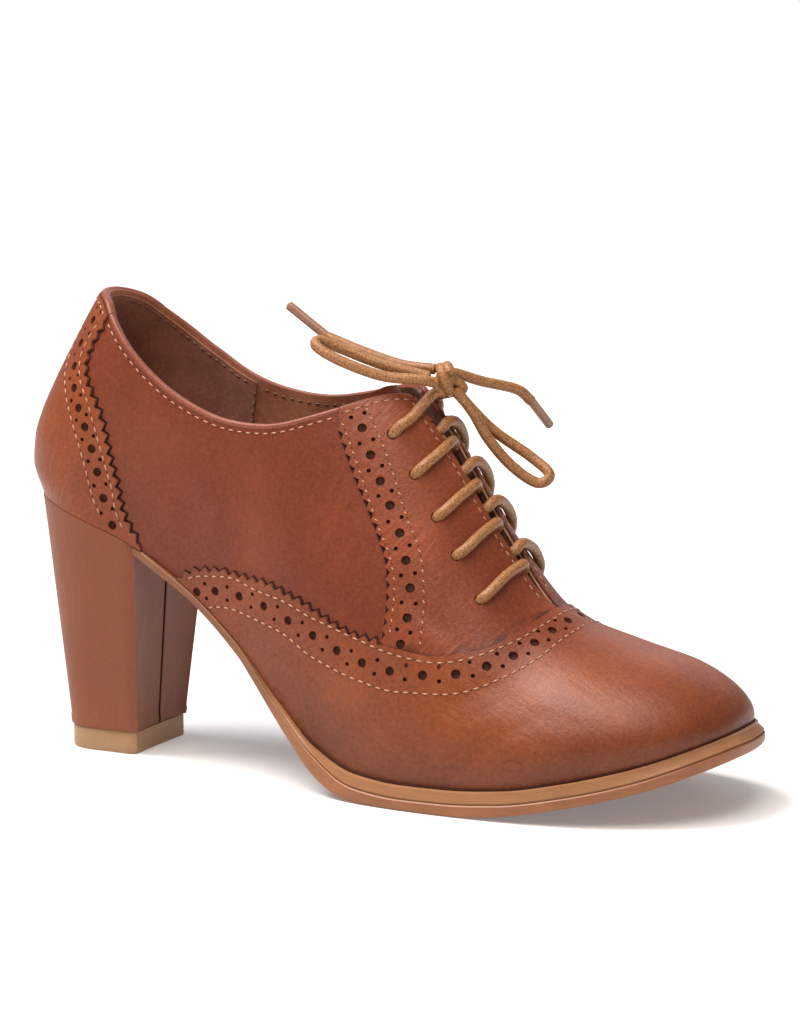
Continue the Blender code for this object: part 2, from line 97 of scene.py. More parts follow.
# Reaches and sizes of the grip, the tongue, the wing, the lace, the stitches, the sole and the heel.
GRIP_END, GRIP_FOOT, GRIP_LOW = 57.0, 60.0, 0.03
TONGUE_TOP, TONGUE_END, TONGUE_HALF = 124.0, 184.0, 18.5
WING_LAP, LAP_REACH = 0.7, 11.0
WING_RIDGE_FROM, WING_SHADOW_FROM = 176.0, 61.0
FOLD_SHADE_REACH = 4.5
LACE_STEP, AGLET_RADIUS = 0.7, 1.38
TOOTH_COLUMNS = 6
THREAD_LIFT, NEEDLE_RADIUS = 0.08, 0.26
COLLAR_ROWS_TO = 150.0
WELT_FROM = 80.0
SHADOW_LINE_FROM, SHADOW_LINE_RADIUS = 97.0, 0.42
WAIST_DARK, WAIST_TONE = (88.0, 99.0), 0.74
BREAST_SEAM, BREAST_FROM = (-0.5, 0.2), 33.0
SHARP = 35.0


def table(columns, *rows):
    """A table with named columns."""
    return dict(zip(columns, np.array(rows, float).T))


SECTIONS = table(
    ("at", "lateral", "medial", "feather", "ridge", "power"),
    (3, 26.5, 26.5, 79.8, 156.8, 2.25),
    (25, 26.5, 26.5, 73.4, 155.8, 2.25),
    (45, 25.5, 25.5, 65.5, 154.8, 2.25),
    (60, 25.5, 24.5, 56.4, 152.8, 2.2),
    (80, 28.0, 24.5, 41.0, 148.8, 2.2),
    (95, 32.0, 26.5, 26.6, 141.8, 2.1),
    (110, 36.0, 30.5, 14.2, 132.8, 1.9),
    (125, 39.5, 35.0, 8.3, 119.8, 1.75),
    (140, 41.5, 38.0, 7.1, 99.8, 1.65),
    (155, 42.2, 40.5, 7.3, 75.8, 1.62),
    (172, 42.6, 41.5, 8.7, 54.3, 1.75),
    (190, 43.2, 41.2, 12.2, 47.1, 1.95),
    (210, 43.4, 40.6, 17.4, 41.8, 2.05),
    (231, 43.2, 40.5, 25.0, 36.5, 2.1),
)
BACK = table(
    ("height", "forward"),
    (0, 0), (8, -3), (16, -2.3), (24, 0.2), (32, 4), (40, 8.2), (50, 13.6), (60, 19.2), (90, 36),
)
COLLAR = table(
    ("at", "lateral", "medial"),
    (3, 140.3, 140.3),
    (9, 138.6, 137.5),
    (17, 133.4, 132.2),
    (26, 127.3, 127.0),
    (40, 118.0, 119.8),
    (55, 110.2, 113.2),
    (70, 105.8, 109.7),
    (85, 105.4, 108.8),
    (100, 108.3, 110.8),
    (112, 112.3, 113.8),
    (122, 115.4, 116.2),
    (134, 117.0, 117.4),
)
SOLE = table(
    ("at", "edge", "welt", "tread"),
    (43, 0.3, 0.8, 63.2),
    (60, 0.3, 0.8, 53.2),
    (80, 0.4, 0.8, 36.9),
    (88, 0.9, 0.8, 28.5),
    (95, 1.4, 0.8, 20.9),
    (103, 2.0, 1.0, 12.6),
    (110, 2.5, 1.8, 6.1),
    (117, 2.7, 2.8, 2.1),
    (122, 2.8, 3.3, 0.7),
    (127, 2.8, 3.5, 0.0),
    (158, 2.8, 3.5, 0.0),
    (166, 2.8, 3.5, 0.6),
    (175, 2.8, 3.6, 1.9),
    (190, 2.8, 3.7, 5.0),
    (210, 2.8, 3.8, 10.0),
    (231, 3.0, 3.8, 17.4),
)
EYELETS = table(
    ("at", "turn"),
    (126.4, 0.698), (134.1, 0.677), (141.8, 0.655), (148.5, 0.639), (156.7, 0.615),
)

# Lines on the leather, each a run of stations and turns.
WING_PINKED_TO = 131.0
WING_EDGE = (
    (58.5, 0.0), (61.0, 0.007), (64.4, 0.023), (68.6, 0.046), (71.4, 0.058), (75.2, 0.077), (78.7, 0.089),
    (83.3, 0.108), (87.9, 0.131), (91.7, 0.151), (95.2, 0.166), (99.1, 0.181), (103.3, 0.201), (107.5, 0.216),
    (110.6, 0.224), (118.4, 0.243), (126.1, 0.265), (131.0, 0.283), (138.0, 0.312), (146.0, 0.347),
    (154.0, 0.412), (161.5, 0.505), (167.5, 0.655), (171.0, 0.84), (172.5, 1.0),
)
WING_FRONT = WING_EDGE[18:]
FACING_SEAM = ((134.5, 0.297), *WING_FRONT)
COUNTER_EDGE = (
    (14.9, 0.5), (14.7, 0.46), (14.4, 0.42), (14.7, 0.375), (16.2, 0.333), (19.6, 0.294), (24.4, 0.261),
    (29.4, 0.224), (33.7, 0.177), (37.1, 0.131), (39.5, 0.1), (41.6, 0.05), (43.8, 0.018), (46.5, 0.0),
)
FACING_EDGE = (
    (111.0, 0.607), (114.0, 0.576), (118.8, 0.538), (123.6, 0.51), (128.5, 0.479), (132.0, 0.449),
    (133.1, 0.416), (133.8, 0.359), (133.5, 0.309), (133.1, 0.285),
)
STITCHED = {
    "wing_upper": (
        (62.8, 0.013), (71.9, 0.056), (79.1, 0.089), (85.9, 0.112), (93.6, 0.148), (104.7, 0.197),
        (119.1, 0.246), (133.1, 0.283), (145.6, 0.331), (153.8, 0.391), (161.5, 0.485), (169.7, 0.672),
        (173.6, 0.874), (174.1, 1.0),
    ),
    "wing_lower": (
        (69.5, 0.0), (77.7, 0.033), (85.4, 0.062), (93.6, 0.098), (101.3, 0.128), (109.0, 0.15),
        (120.1, 0.18), (134.1, 0.213), (148.1, 0.271), (158.2, 0.338), (168.3, 0.471), (176.5, 0.654),
        (180.3, 0.906), (180.6, 1.0),
    ),
    "facing_back": (
        (112.0, 0.606), (119.6, 0.548), (126.9, 0.491), (132.2, 0.457), (134.6, 0.415), (135.0, 0.36),
        (134.8, 0.31),
    ),
    "facing_front": (
        (117.7, 0.694), (123.5, 0.657), (129.3, 0.615), (134.1, 0.573), (139.4, 0.541), (141.8, 0.5),
        (143.7, 0.424), (144.2, 0.352),
    ),
    "counter_front": (
        (13.5, 0.49), (13.2, 0.45), (12.9, 0.41), (13.1, 0.365), (14.7, 0.33), (18.4, 0.29), (24.4, 0.248),
        (31.0, 0.186), (36.3, 0.126), (39.2, 0.084), (40.4, 0.046), (42.0, 0.016),
    ),
    "counter_back": (
        (6.4, 0.42), (6.6, 0.37), (8.0, 0.33), (10.0, 0.295), (15.7, 0.243), (21.8, 0.196), (27.0, 0.148),
        (30.5, 0.105), (32.4, 0.066), (35.3, 0.015),
    ),
}
PUNCHED = {
    "wing": (
        (66.1, 0.008), (73.4, 0.039), (82.0, 0.074), (91.2, 0.116), (100.4, 0.152), (109.5, 0.187),
        (118.2, 0.209), (126.9, 0.229), (136.0, 0.258), (146.1, 0.303), (155.3, 0.369), (163.0, 0.459),
        (168.8, 0.564), (172.6, 0.673), (175.0, 0.786), (176.5, 0.912),
    ),
    "facing": (
        (118.2, 0.636), (122.0, 0.601), (125.9, 0.572), (129.7, 0.55), (133.6, 0.523), (136.5, 0.488),
        (138.9, 0.447), (139.4, 0.386), (138.4, 0.325),
    ),
    "counter": (
        (10.1, 0.452), (10.3, 0.378), (13.0, 0.316), (17.3, 0.267), (22.1, 0.228), (26.7, 0.193),
        (31.0, 0.151), (34.3, 0.105), (36.7, 0.056), (38.2, 0.014),
    ),
}

# Creases that wear has left: ends on the leather, half width and height, up for a ridge.
CREASES = table(
    ("at", "turn", "to_at", "to_turn", "wide", "high"),
    (150, 0.2, 166, 0.42, 2.4, -0.26),
    (156, 0.17, 172, 0.36, 2.2, 0.2),
    (163, 0.15, 180, 0.33, 2.6, -0.24),
    (166, 0.42, 188, 0.36, 2.0, -0.14),
    (170, 0.36, 196, 0.3, 1.8, -0.13),
    (176, 0.44, 200, 0.36, 2.0, 0.12),
    (137, 0.42, 158, 0.46, 2.0, -0.18),
    (137, 0.38, 152, 0.4, 1.8, 0.16),
    (54, 0.27, 64, 0.11, 5.5, -0.3),
    (68, 0.25, 73, 0.1, 5.5, 0.3),
    (80, 0.32, 83, 0.12, 6.5, -0.22),
    (93, 0.38, 98, 0.22, 6.0, 0.22),
    (108, 0.48, 116, 0.34, 4.0, -0.28),
    (40, 0.4, 46, 0.22, 4.4, 0.28),
)

# Faint marks on the wing's lateral side: station, turn and the radius of a ring, 0 for a smudge.
STAINS = ((156.9, 0.104, 1.2), (175.9, 0.127, 4.2))

# Bow: the places that each strand passes, from the knot's middle, and the reach of the aglets.
STRANDS = {
    "lace_loop_lateral": (
        (-0.8, -4.6, -0.4), (-4.4, -8.0, 0.7), (-14.4, -12.5, 1.8), (-25.1, -17.0, 5.9),
        (-32.6, -17.6, 9.6), (-33.6, -14.6, 11.2), (-28.2, -11.0, 8.7), (-17.2, -7.0, 4.3),
        (-4.1, -2.4, 0.9),
    ),
    "lace_loop_medial": (
        (3.2, 0.6, -3.0), (7.6, 3.0, -9.6), (11.1, 6.0, -17.5), (16.7, 10.0, -25.6),
        (23.6, 13.0, -30.6), (26.6, 15.2, -28.2), (19.7, 16.0, -23.3), (9.5, 11.5, -15.4),
        (1.6, 3.6, -3.8),
    ),
    "lace_end_lateral": ((-4.1, 1.7, 2.6), (-14.4, 0.5, 3.4), (-26.8, -1.0, 6.9), (-37.5, -2.0, 10.6)),
    "lace_end_medial": (
        (-0.6, 1.0, 1.4), (0.9, 4.6, 1.4), (6.0, 12.0, -1.6), (13.1, 21.0, -4.7), (15.8, 25.5, -8.6),
    ),
}
AGLET_REACH = {"lateral": (-12.0, -1.8, 9.0), "medial": (1.5, 10.0, -8.5)}
KNOT_CORE = (3.0, 3.2, 3.4)

# The lace on each side: its turn after the eyelet, then station steps and depths over its facing and
# across the gap, and its way into the knot from the top eyelet.
LACE_LEAVES = {-1: 0.04, 1: 0.05}
LACE_OVER = {-1: ((1.3, -1.2), (3.0, -1.3), (4.3, -0.9)), 1: ((0.1, -1.3), (0.6, -1.8), (1.2, -1.6))}
LACE_ACROSS = {-1: ((4.7, 0.9), (4.9, 2.8)), 1: ((1.6, -0.7), (1.7, 1.3))}
LACE_TO_KNOT = {-1: ((-2.6, -3.4, -4.2), (0.2, -1.2, -3.4)), 1: ((3.4, 4.4, -3.2), (1.8, 2.0, -0.4))}

# The camera in the photo's place, and the studio's lights: kind, power, tint and place.
CAMERA_AT, CAMERA_AIM = (0.53155, -1.05828, 0.28664), (0.004821, 0, 0.080237)
LENS, SENSOR = 145.23, 36
LIGHT_AIM = (0, 0, 0.06)
SUN_ANGLE, LAMP_SIZE = 32.0, 0.8
LIGHTS = {
    "ceiling": ("SUN", 3.6, "#FFFFFF", (-0.65, -0.18, 1.2)),
    "softbox": ("AREA", 12.0, "#FFF4EA", (0.08, -0.38, 1.0)),
    "backdrop": ("AREA", 2.0, "#FFFFFF", (-0.2, 1.0, 0.7)),
}

# The heel: levels from seat to foot with their growth, and the breast with the seam of its cover,
# shares of the way across with how far they sink. The top piece: heights and growth.
HEEL_ROWS = (
    (0.0, -0.2), (0.006, 0.05), (0.02, 0.1), (0.15, 0.0), (0.35, 0.0), (0.55, 0.0), (0.75, 0.0),
    (0.9, 0.0), (0.955, 0.05), (0.97, 0.3), (0.985, 0.35), (0.997, 0.25), (1.0, -0.1),
)
BREAST_ROWS = (
    (0.03, -0.35), (0.06, 0.0), (0.25, 0.5), (0.45, 0.75), (0.488, 0.78), (0.494, 1.5), (0.5, 1.5),
    (0.506, 0.55), (0.512, 0.5), (0.55, 0.6), (0.75, 0.45), (0.94, 0.0), (0.97, -0.35),
)
TOP_PIECE_ROWS = (
    (TOP_PIECE, -0.8), (TOP_PIECE, -0.45), (TOP_PIECE - 0.25, -0.3), (0.5, -0.3), (0.15, -0.45), (0.0, -0.8),
)


class ShoeSizes(bpy.types.PropertyGroup):
    overlay: bpy.props.FloatProperty(
        name="Overlay", description="Thickness of the overlaid leather", default=0.0009, unit="LENGTH")
    tooth: bpy.props.FloatProperty(
        name="Tooth pitch", description="Spacing of the pinked teeth", default=0.0036, unit="LENGTH")
    tooth_depth: bpy.props.FloatProperty(
        name="Tooth depth", description="How deep the pinking is cut", default=0.0017, unit="LENGTH")
    large_hole: bpy.props.FloatProperty(
        name="Large hole", description="Diameter of the large punched holes", default=0.0028, unit="LENGTH")
    small_hole: bpy.props.FloatProperty(
        name="Small hole", description="Diameter of the small punched holes", default=0.0013, unit="LENGTH")
    hole_spread: bpy.props.FloatProperty(
        name="Hole spread", description="Distance between the small holes of a pair", default=0.0041,
        unit="LENGTH")
    stitch: bpy.props.FloatProperty(
        name="Stitch pitch", description="Length of one stitch with its gap", default=0.003, unit="LENGTH")
    thread: bpy.props.FloatProperty(
        name="Thread", description="Thickness of the sewing thread", default=0.00048, unit="LENGTH")
    lace: bpy.props.FloatProperty(
        name="Lace", description="Diameter of the round lace", default=0.0032, unit="LENGTH")
    eyelet: bpy.props.FloatProperty(
        name="Eyelet", description="Diameter of the eyelet holes", default=0.0034, unit="LENGTH")

    def mm(self, name):
        return getattr(self, name) / MM


class ShoeColours(bpy.types.PropertyGroup):
    leather: bpy.props.StringProperty(
        name="Leather", description="Main tone of the brown leather", default="#773519")
    leather_dark: bpy.props.StringProperty(
        name="Leather shade", description="Deeper tone of the brown leather", default="#5D2510")
    heel: bpy.props.StringProperty(
        name="Heel", description="Leather wrapped round the heel", default="#824B34")
    raw_edge: bpy.props.StringProperty(
        name="Raw edge", description="Cut edge of the facings", default="#C39F7C")
    lining: bpy.props.StringProperty(
        name="Lining", description="Suede lining", default="#B16F49")
    grip: bpy.props.StringProperty(
        name="Heel grip", description="Lining of the heel", default="#985C44")
    thread: bpy.props.StringProperty(
        name="Thread", description="Sewing thread", default="#BB8B6B")
    lace: bpy.props.StringProperty(
        name="Lace", description="Waxed round lace", default="#B27D48")
    aglet: bpy.props.StringProperty(
        name="Aglet", description="Film on the lace's ends", default="#A67A60")
    welt: bpy.props.StringProperty(
        name="Welt", description="Edge of the welt", default="#956541")
    outsole: bpy.props.StringProperty(
        name="Outsole", description="Edge of the outsole", default="#945B31")
    top_piece: bpy.props.StringProperty(
        name="Top piece", description="Rubber lift of the heel", default="#A27B55")
    # Painted shade: this dark colour in the punched and needle holes stands in for the shade inside them.
    punched: bpy.props.StringProperty(
        name="Punched holes", description="Backing seen in the holes", default="#4A3027")


def smooth(rows, column, x, key="at"):
    """Read a table at x by a cubic that never overshoots its rows."""
    xs, ys = rows[key], rows[column]
    step = np.diff(xs)
    slope = np.diff(ys) / step
    tangent = np.r_[slope[0], np.zeros(len(slope) - 1), slope[-1]]
    for i in range(1, len(slope)):
        before, after = slope[i - 1], slope[i]
        if before * after > 0:
            a, b = 2 * step[i] + step[i - 1], step[i] + 2 * step[i - 1]
            tangent[i] = (a + b) / (a / before + b / after)
    x = np.clip(x, xs[0], xs[-1])
    i = np.clip(np.searchsorted(xs, x, "right") - 1, 0, len(step) - 1)
    t = (x - xs[i]) / step[i]
    start = (1 + 2 * t) * (1 - t) ** 2 * ys[i] + t * (1 - t) ** 2 * step[i] * tangent[i]
    end = t * t * (3 - 2 * t) * ys[i + 1] + t * t * (t - 1) * step[i] * tangent[i + 1]
    return start + end


def ease(t):
    """0 to 1 with level ends."""
    t = np.clip(t, 0, 1)
    return t * t * (3 - 2 * t)


def unit(vectors):
    """Vectors scaled to a length of 1."""
    return vectors / np.linalg.norm(vectors, axis=-1, keepdims=True)


def lengths(points):
    """Length along a run of points, up to each of them."""
    return np.r_[0, np.cumsum(np.linalg.norm(np.diff(points, axis=0), axis=1))]


def rounded_end(distance, length, power):
    """Share of the full size at a distance from a rounded end."""
    return (1 - np.clip(1 - distance / length, 0, 1) ** power) ** (1 / power)


def feather(x):
    return smooth(SECTIONS, "feather", x)


def half_width(x, side):
    wide = np.where(side < 0, smooth(SECTIONS, "lateral", x), smooth(SECTIONS, "medial", x))
    toe = rounded_end(TOE_TIP - x, TOE_ROUND, TOE_POWER)
    return wide * toe * rounded_end(x - HEEL_LINE, HEEL_ROUND, HEEL_POWER)


def rise(x):
    height = smooth(SECTIONS, "ridge", x) - feather(x)
    return height * rounded_end(TOE_TIP - x, TOE_RISE, RISE_POWER)


def surface(x, turn, side):
    """The outer face of the overlays."""
    x, turn, side = np.broadcast_arrays(*(np.asarray(v, float) for v in (x, turn, side)))
    power = smooth(SECTIONS, "power", x)
    angle = turn * pi / 2
    out = np.abs(np.cos(angle)) ** (2 / power) - TUCK * np.clip(1 - turn / TUCK_TURN, 0, 1) ** 2
    up = rise(x) * np.sin(angle) ** (2 / power)
    lean = 1 - ease((x - HEEL_LINE) / (BACK_LEAN_END - HEEL_LINE))
    swing = TOE_SWING * ease((x - SWING_FROM) / (TOE_TIP - SWING_FROM))
    along = x + smooth(BACK, "forward", up, "height") * lean
    return np.stack([along, swing + side * half_width(x, side) * out, feather(x) + up], -1)


def side_normal(x, turn, side):
    """The outward direction on one side, level at the feather line."""
    x = np.clip(x, HEEL_LINE + 0.06, TOE_TIP - 0.06)
    along = surface(x + 0.05, turn, side) - surface(x - 0.05, turn, side)
    across = surface(x, np.minimum(turn + 0.02, 1), side) - surface(x, np.maximum(turn - 0.02, 0), side)
    normal = np.cross(along, across) * -side[..., None]
    normal[..., 2] *= ease(turn / TUCK_TURN)
    return unit(normal)


def normals(x, turn, side):
    """The outward direction, shared by both sides on the ridge and the heel's back line."""
    x, turn, side = np.broadcast_arrays(*(np.asarray(v, float) for v in (x, turn, side)))
    one = side_normal(x, turn, side)
    both = unit(one + side_normal(x, turn, -side))
    shared = (x <= HEEL_LINE + 1e-6) | (turn >= 1 - 1e-6)
    made = np.where(shared[..., None], both, one)
    return np.where((x >= TOE_TIP - 1e-6)[..., None], (1.0, 0.0, 0.0), made)


STATIONS = HEEL_LINE + (TOE_TIP - HEEL_LINE) * (1 - np.cos(pi * np.linspace(0, 1, 1500))) / 2
OUTLINE = surface(STATIONS, 0.2, -1)
RUNS = lengths(OUTLINE)


def run_of(at):
    """Length along the shoe's outline from the heel's back line to a station."""
    return np.interp(at, STATIONS, RUNS)


def at_of(run):
    return np.interp(run, RUNS, STATIONS)


def relief(x, turn):
    """Height of the creases, worked out on the leather laid flat."""
    girth = 95.0
    along, across = run_of(x), turn * girth
    total = np.zeros(np.shape(along))
    for i in range(len(CREASES["at"])):
        row = {name: column[i] for name, column in CREASES.items()}
        start = np.array((run_of(row["at"]), row["turn"] * girth))
        reach = np.array((run_of(row["to_at"]), row["to_turn"] * girth)) - start
        share = ((along - start[0]) * reach[0] + (across - start[1]) * reach[1]) / (reach @ reach)
        apart = np.abs((along - start[0]) * reach[1] - (across - start[1]) * reach[0]) / np.linalg.norm(reach)
        fade = ease(share * 3 + 0.5) * ease((1 - share) * 3 + 0.5)
        total = total + row["high"] * np.exp(-(apart / row["wide"]) ** 2) * fade
    return total


def leather(x, turn, side, depth=0.0):
    """Points on the leather at a depth."""
    x, turn, side, depth = np.broadcast_arrays(*(np.asarray(v, float) for v in (x, turn, side, depth)))
    sink = depth - relief(x, turn) * ease(turn / 0.1)
    points = surface(x, turn, side) - normals(x, turn, side) * sink[..., None]
    points[..., 2] += (feather(points[..., 0]) - feather(x)) * (1 - ease(turn / TUCK_TURN))
    return points


def turn_at_height(x, height):
    share = np.clip((height - feather(x)) / np.maximum(rise(x), 1e-9), 0, 1)
    return np.arcsin(share ** (smooth(SECTIONS, "power", x) / 2)) / (pi / 2)


def turn_at_width(x, width, side):
    share = np.clip(width / np.maximum(half_width(x, np.asarray(side)), 1e-9), 0, 1)
    return np.arccos(share ** (smooth(SECTIONS, "power", x) / 2)) / (pi / 2)


def top_edge(x, side):
    """Top edge of the upper: collar, soft corner, then throat."""
    x = np.asarray(x, float)
    column = "lateral" if side < 0 else "medial"
    height = smooth(COLLAR, column, x)
    rounder = (smooth(COLLAR, column, x - ROUNDING) + smooth(COLLAR, column, x + ROUNDING) + 2 * height) / 4
    start, end = COLLAR_ROUNDED
    height = height + (rounder - height) * ease((x - start) / 20) * ease((end - x) / 15)
    collar = turn_at_height(x, height)
    open_half = THROAT_HALF[side] * np.sqrt(np.clip((THROAT_END - x) / 40, 0, 1))
    throat = turn_at_width(x, open_half, side)
    soft = -np.log(np.exp(-CORNER_SOFT * collar) + np.exp(-CORNER_SOFT * throat)) / CORNER_SOFT
    edge = np.where(x < BACK_LEAN_END, collar, np.where(x >= THROAT_TOP, throat, soft))
    return np.where(x >= THROAT_END, 1.0, edge)


def top_line(start, end, side, inset=0.0, **spacing):
    """The upper's top edge between two stations, as stations and turns."""
    x = at_of(np.linspace(run_of(start), run_of(end), 200))
    turn = top_edge(x, side)
    wide = np.linalg.norm(surface(x, turn, side) - surface(x, turn - 0.01, side), axis=-1) / 0.01
    line = np.stack([x, turn - inset / np.maximum(wide, 1e-3)], -1)
    return evenly(line, side, **spacing) if spacing else line


def feather_line(start, end, rows, side, count):
    """The feather line between two stations, as stations and turns."""
    return evenly([(x, 0.0) for x in at_of(np.linspace(run_of(start), run_of(end), rows))], side, count=count)


def evenly(points, side, step=None, count=None):
    """Stations and turns spaced evenly along a drawn line."""
    rows = np.asarray(points, float)
    t = np.arange(len(rows), dtype=float)
    fine = np.linspace(0, t[-1], max(400, 4 * len(rows)))
    drawn = {"t": t, "at": rows[:, 0], "turn": rows[:, 1]}
    at, turn = smooth(drawn, "at", fine, "t"), smooth(drawn, "turn", fine, "t")
    length = lengths(surface(at, turn, side))
    if count is None:
        count = max(2, int(round(length[-1] / step)) + 1)
    where = np.linspace(0, length[-1], count)
    return np.stack([np.interp(where, length, at), np.interp(where, length, turn)], -1)


def patch(bottom, top, left, right, pull=1):
    """Stations and turns between four lines that meet at their ends.

    A higher pull keeps the bends of the left and right lines close to them.
    """
    flat = [np.stack([run_of(line[:, 0]), line[:, 1]], -1) for line in (bottom, top, left, right)]
    low, high, start, end = flat
    u = np.linspace(0, 1, len(low))[None, :, None]
    v = np.linspace(0, 1, len(start))[:, None, None]
    grid = (1 - v) * low + v * high
    grid = (grid + (1 - u) ** pull * (start[:, None] - (1 - v) * low[0] - v * high[0])
            + u ** pull * (end[:, None] - (1 - v) * low[-1] - v * high[-1]))
    return np.stack([at_of(grid[..., 0]), np.clip(grid[..., 1], 0, 1)], -1)


def ways(at, turn, side, direction):
    """Steps in station and turn for each millimetre in a direction along the leather."""
    low, high = np.maximum(turn - 0.005, 0), np.minimum(turn + 0.005, 1)
    along = surface(at + 0.25, turn, side) - surface(at - 0.25, turn, side)
    across = surface(at, high, side) - surface(at, low, side)
    a, b, c = (along * along).sum(-1), (along * across).sum(-1), (across * across).sum(-1)
    p, q = (along * direction).sum(-1), (across * direction).sum(-1)
    scale = np.maximum(a * c - b * b, 1e-12)
    return np.stack([(c * p - b * q) / scale * 0.5, (a * q - b * p) / scale * (high - low)], -1)


def outward(line, side):
    """Steps in station and turn for each millimetre out of a line, to its left on the leather."""
    at, turn = line[:, 0], line[:, 1]
    run = np.gradient(surface(at, turn, side), axis=0)
    return ways(at, turn, side, unit(np.cross(normals(at, turn, side), run)))


def pinked(grid, side, depth, margin=0.0, until=TOE_TIP):
    """Add a row outside a patch, so that its top line grows teeth a few columns wide, up to a station."""
    line = grid[-1]
    column = np.arange(len(line))
    tooth = np.abs(2 * ((column % TOOTH_COLUMNS) / TOOTH_COLUMNS) - 1)
    room = np.minimum(column, column[::-1]) / TOOTH_COLUMNS
    tip = (depth * tooth + margin) * (line[:, 0] < until) * np.clip(room, 0, 1)
    step = outward(line, side)
    if (step * (line - grid[-3])).sum() < 0:
        step = -step
    edge = np.clip(line + step * tip[:, None], (HEEL_LINE, 0), (TOE_TIP, 1))
    return np.concatenate([grid, edge[None]])


def lap(x, turn):
    """How far the wing rises along the front of its edge, where it laps over the facings."""
    edge = np.array(WING_EDGE)
    edge_at = np.interp(turn, edge[:, 1], edge[:, 0])
    below = np.where(x > edge[-1, 0], 1e3, np.maximum((np.interp(x, *edge.T) - turn) * 90, 0.01))
    ahead = np.maximum(x - edge_at, 0.01)
    away = below * ahead / np.hypot(below, ahead)
    near = (edge_at + np.minimum(x, edge[-1, 0])) / 2
    return WING_LAP * ease((near - WING_PINKED_TO + 3) / 8) * (1 - ease(away / LAP_REACH))


def to_metres(points):
    return (np.asarray(points, float) - (MIDDLE_AT, 0, 0)) * MM


def add_sheet(bm, points, facing=None):
    """A grid moved to rows of points, turned to face a direction."""
    rows, columns = points.shape[:2]
    if facing is not None:
        i, j = rows // 2, columns // 2
        across = np.cross(points[i, j + 1] - points[i, j], points[i + 1, j] - points[i, j])
        if across @ np.asarray(facing, float) < 0:
            points = points[:, ::-1]
    verts = bmesh.ops.create_grid(bm, x_segments=columns - 1, y_segments=rows - 1, size=0.5)["verts"]
    for vert, place in zip(verts, to_metres(points).reshape(-1, 3)):
        vert.co = place
    return verts, points


def drape(bm, grid, side, depth):
    """A sheet over a grid of stations and turns, facing outward."""
    return add_sheet(bm, leather(grid[..., 0], grid[..., 1], side, depth), (0, side, 0.3))


def skin_over(rings, merge):
    """A closed skin over rings of points, with its ends filled."""
    bm = bmesh.new()
    add_sheet(bm, np.array(rings))
    bmesh.ops.remove_doubles(bm, verts=bm.verts, dist=merge)
    bmesh.ops.holes_fill(bm, edges=[edge for edge in bm.edges if edge.is_boundary], sides=0)
    return bm


def new_object(name, bm):
    """An object in the scene from a bmesh."""
    mesh = bpy.data.meshes.new(name)
    bm.to_mesh(mesh)
    bm.free()
    made = bpy.data.objects.new(name, mesh)
    bpy.context.scene.collection.objects.link(made)
    return made


def finish(name, bm, materials, nodes=(), sharp=SHARP, merge=2e-6, closed=False):
    """A piece from a bmesh, riding on the shoe in place of its solids."""
    bmesh.ops.remove_doubles(bm, verts=bm.verts, dist=merge)
    if closed:
        bmesh.ops.recalc_face_normals(bm, faces=bm.faces)
    piece = new_object(name, bm)
    for made in materials:
        piece.data.materials.append(made)
    piece.data.shade_smooth()
    piece.data.set_sharp_from_angle(angle=radians(sharp))
    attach(piece, "root")
    if nodes:
        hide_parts(*nodes)
    return piece


def settle(piece):
    """Put the piece's modifiers into its mesh."""
    graph = bpy.context.evaluated_depsgraph_get()
    mesh = bpy.data.meshes.new_from_object(piece.evaluated_get(graph))
    old = piece.data
    piece.modifiers.clear()
    piece.data = mesh
    bpy.data.meshes.remove(old)
    mesh.name = piece.name
    mesh.shade_smooth()
    mesh.set_sharp_from_angle(angle=radians(SHARP))


def thicken(piece, wall, rim=0, back=0):
    """Give a sheet its wall, inward from its face."""
    wall_up = piece.modifiers.new("wall", "SOLIDIFY")
    wall_up.thickness = wall * MM
    wall_up.offset = -1
    wall_up.material_offset_rim = rim
    wall_up.material_offset = back


def turned(centre, axis):
    """A placing matrix with Z along an axis."""
    made = Vector(axis).to_track_quat("Z", "Y").to_matrix().to_4x4()
    made.translation = Vector(to_metres(centre))
    return made


def punch(piece, holes):
    """Cut round holes through a piece: rows of station, turn, side, radius and lift."""
    bm = bmesh.new()
    for at, turn, side, radius, lift in holes:
        centre = leather(at, turn, side, 0.4 - lift)
        bmesh.ops.create_cone(
            bm, cap_ends=True, segments=16 if radius > 1 else 10, radius1=radius * MM, radius2=radius * MM,
            depth=8 * MM if radius > 1.6 else 4 * MM, matrix=turned(centre, normals(at, turn, side)))
    cutter = new_object("punch", bm)
    mesh = cutter.data
    cut = piece.modifiers.new("punch", "BOOLEAN")
    cut.operation = "DIFFERENCE"
    cut.solver = "MANIFOLD"
    cut.object = cutter
    settle(piece)
    bpy.data.objects.remove(cutter)
    bpy.data.meshes.remove(mesh)


def eyelet_holes(sizes, side):
    """The eyelets of one side."""
    return [(at, turn, side, sizes.mm("eyelet") / 2, 0.0) for at, turn in zip(*EYELETS.values())]


def brogue_holes(sizes, row, side):
    """One row of large holes with a pair of small ones between each two, across the row."""
    def rise_of(at, turn):
        return float(lap(at, turn)) if row == "wing" else 0.0

    places = np.array(PUNCHED[row])
    holes = [(at, turn, side, sizes.mm("large_hole") / 2, rise_of(at, turn)) for at, turn in places]
    spread = sizes.mm("hole_spread") / 2
    if row != "wing":
        places = np.vstack([2 * places[0] - places[1], places])
    for one, two in zip(places, places[1:]):
        middle = (one + two) / 2
        here, there = surface(*one, side), surface(*two, side)
        across = unit(np.cross(normals(*middle, side), there - here))
        step = ways(*middle, side, across)
        for sign in (-1, 1):
            at, turn = middle + sign * spread * step
            if 0.004 < turn < float(top_edge(at, side)) - 0.02:
                holes.append((at, turn, side, sizes.mm("small_hole") / 2, rise_of(at, turn)))
    return holes


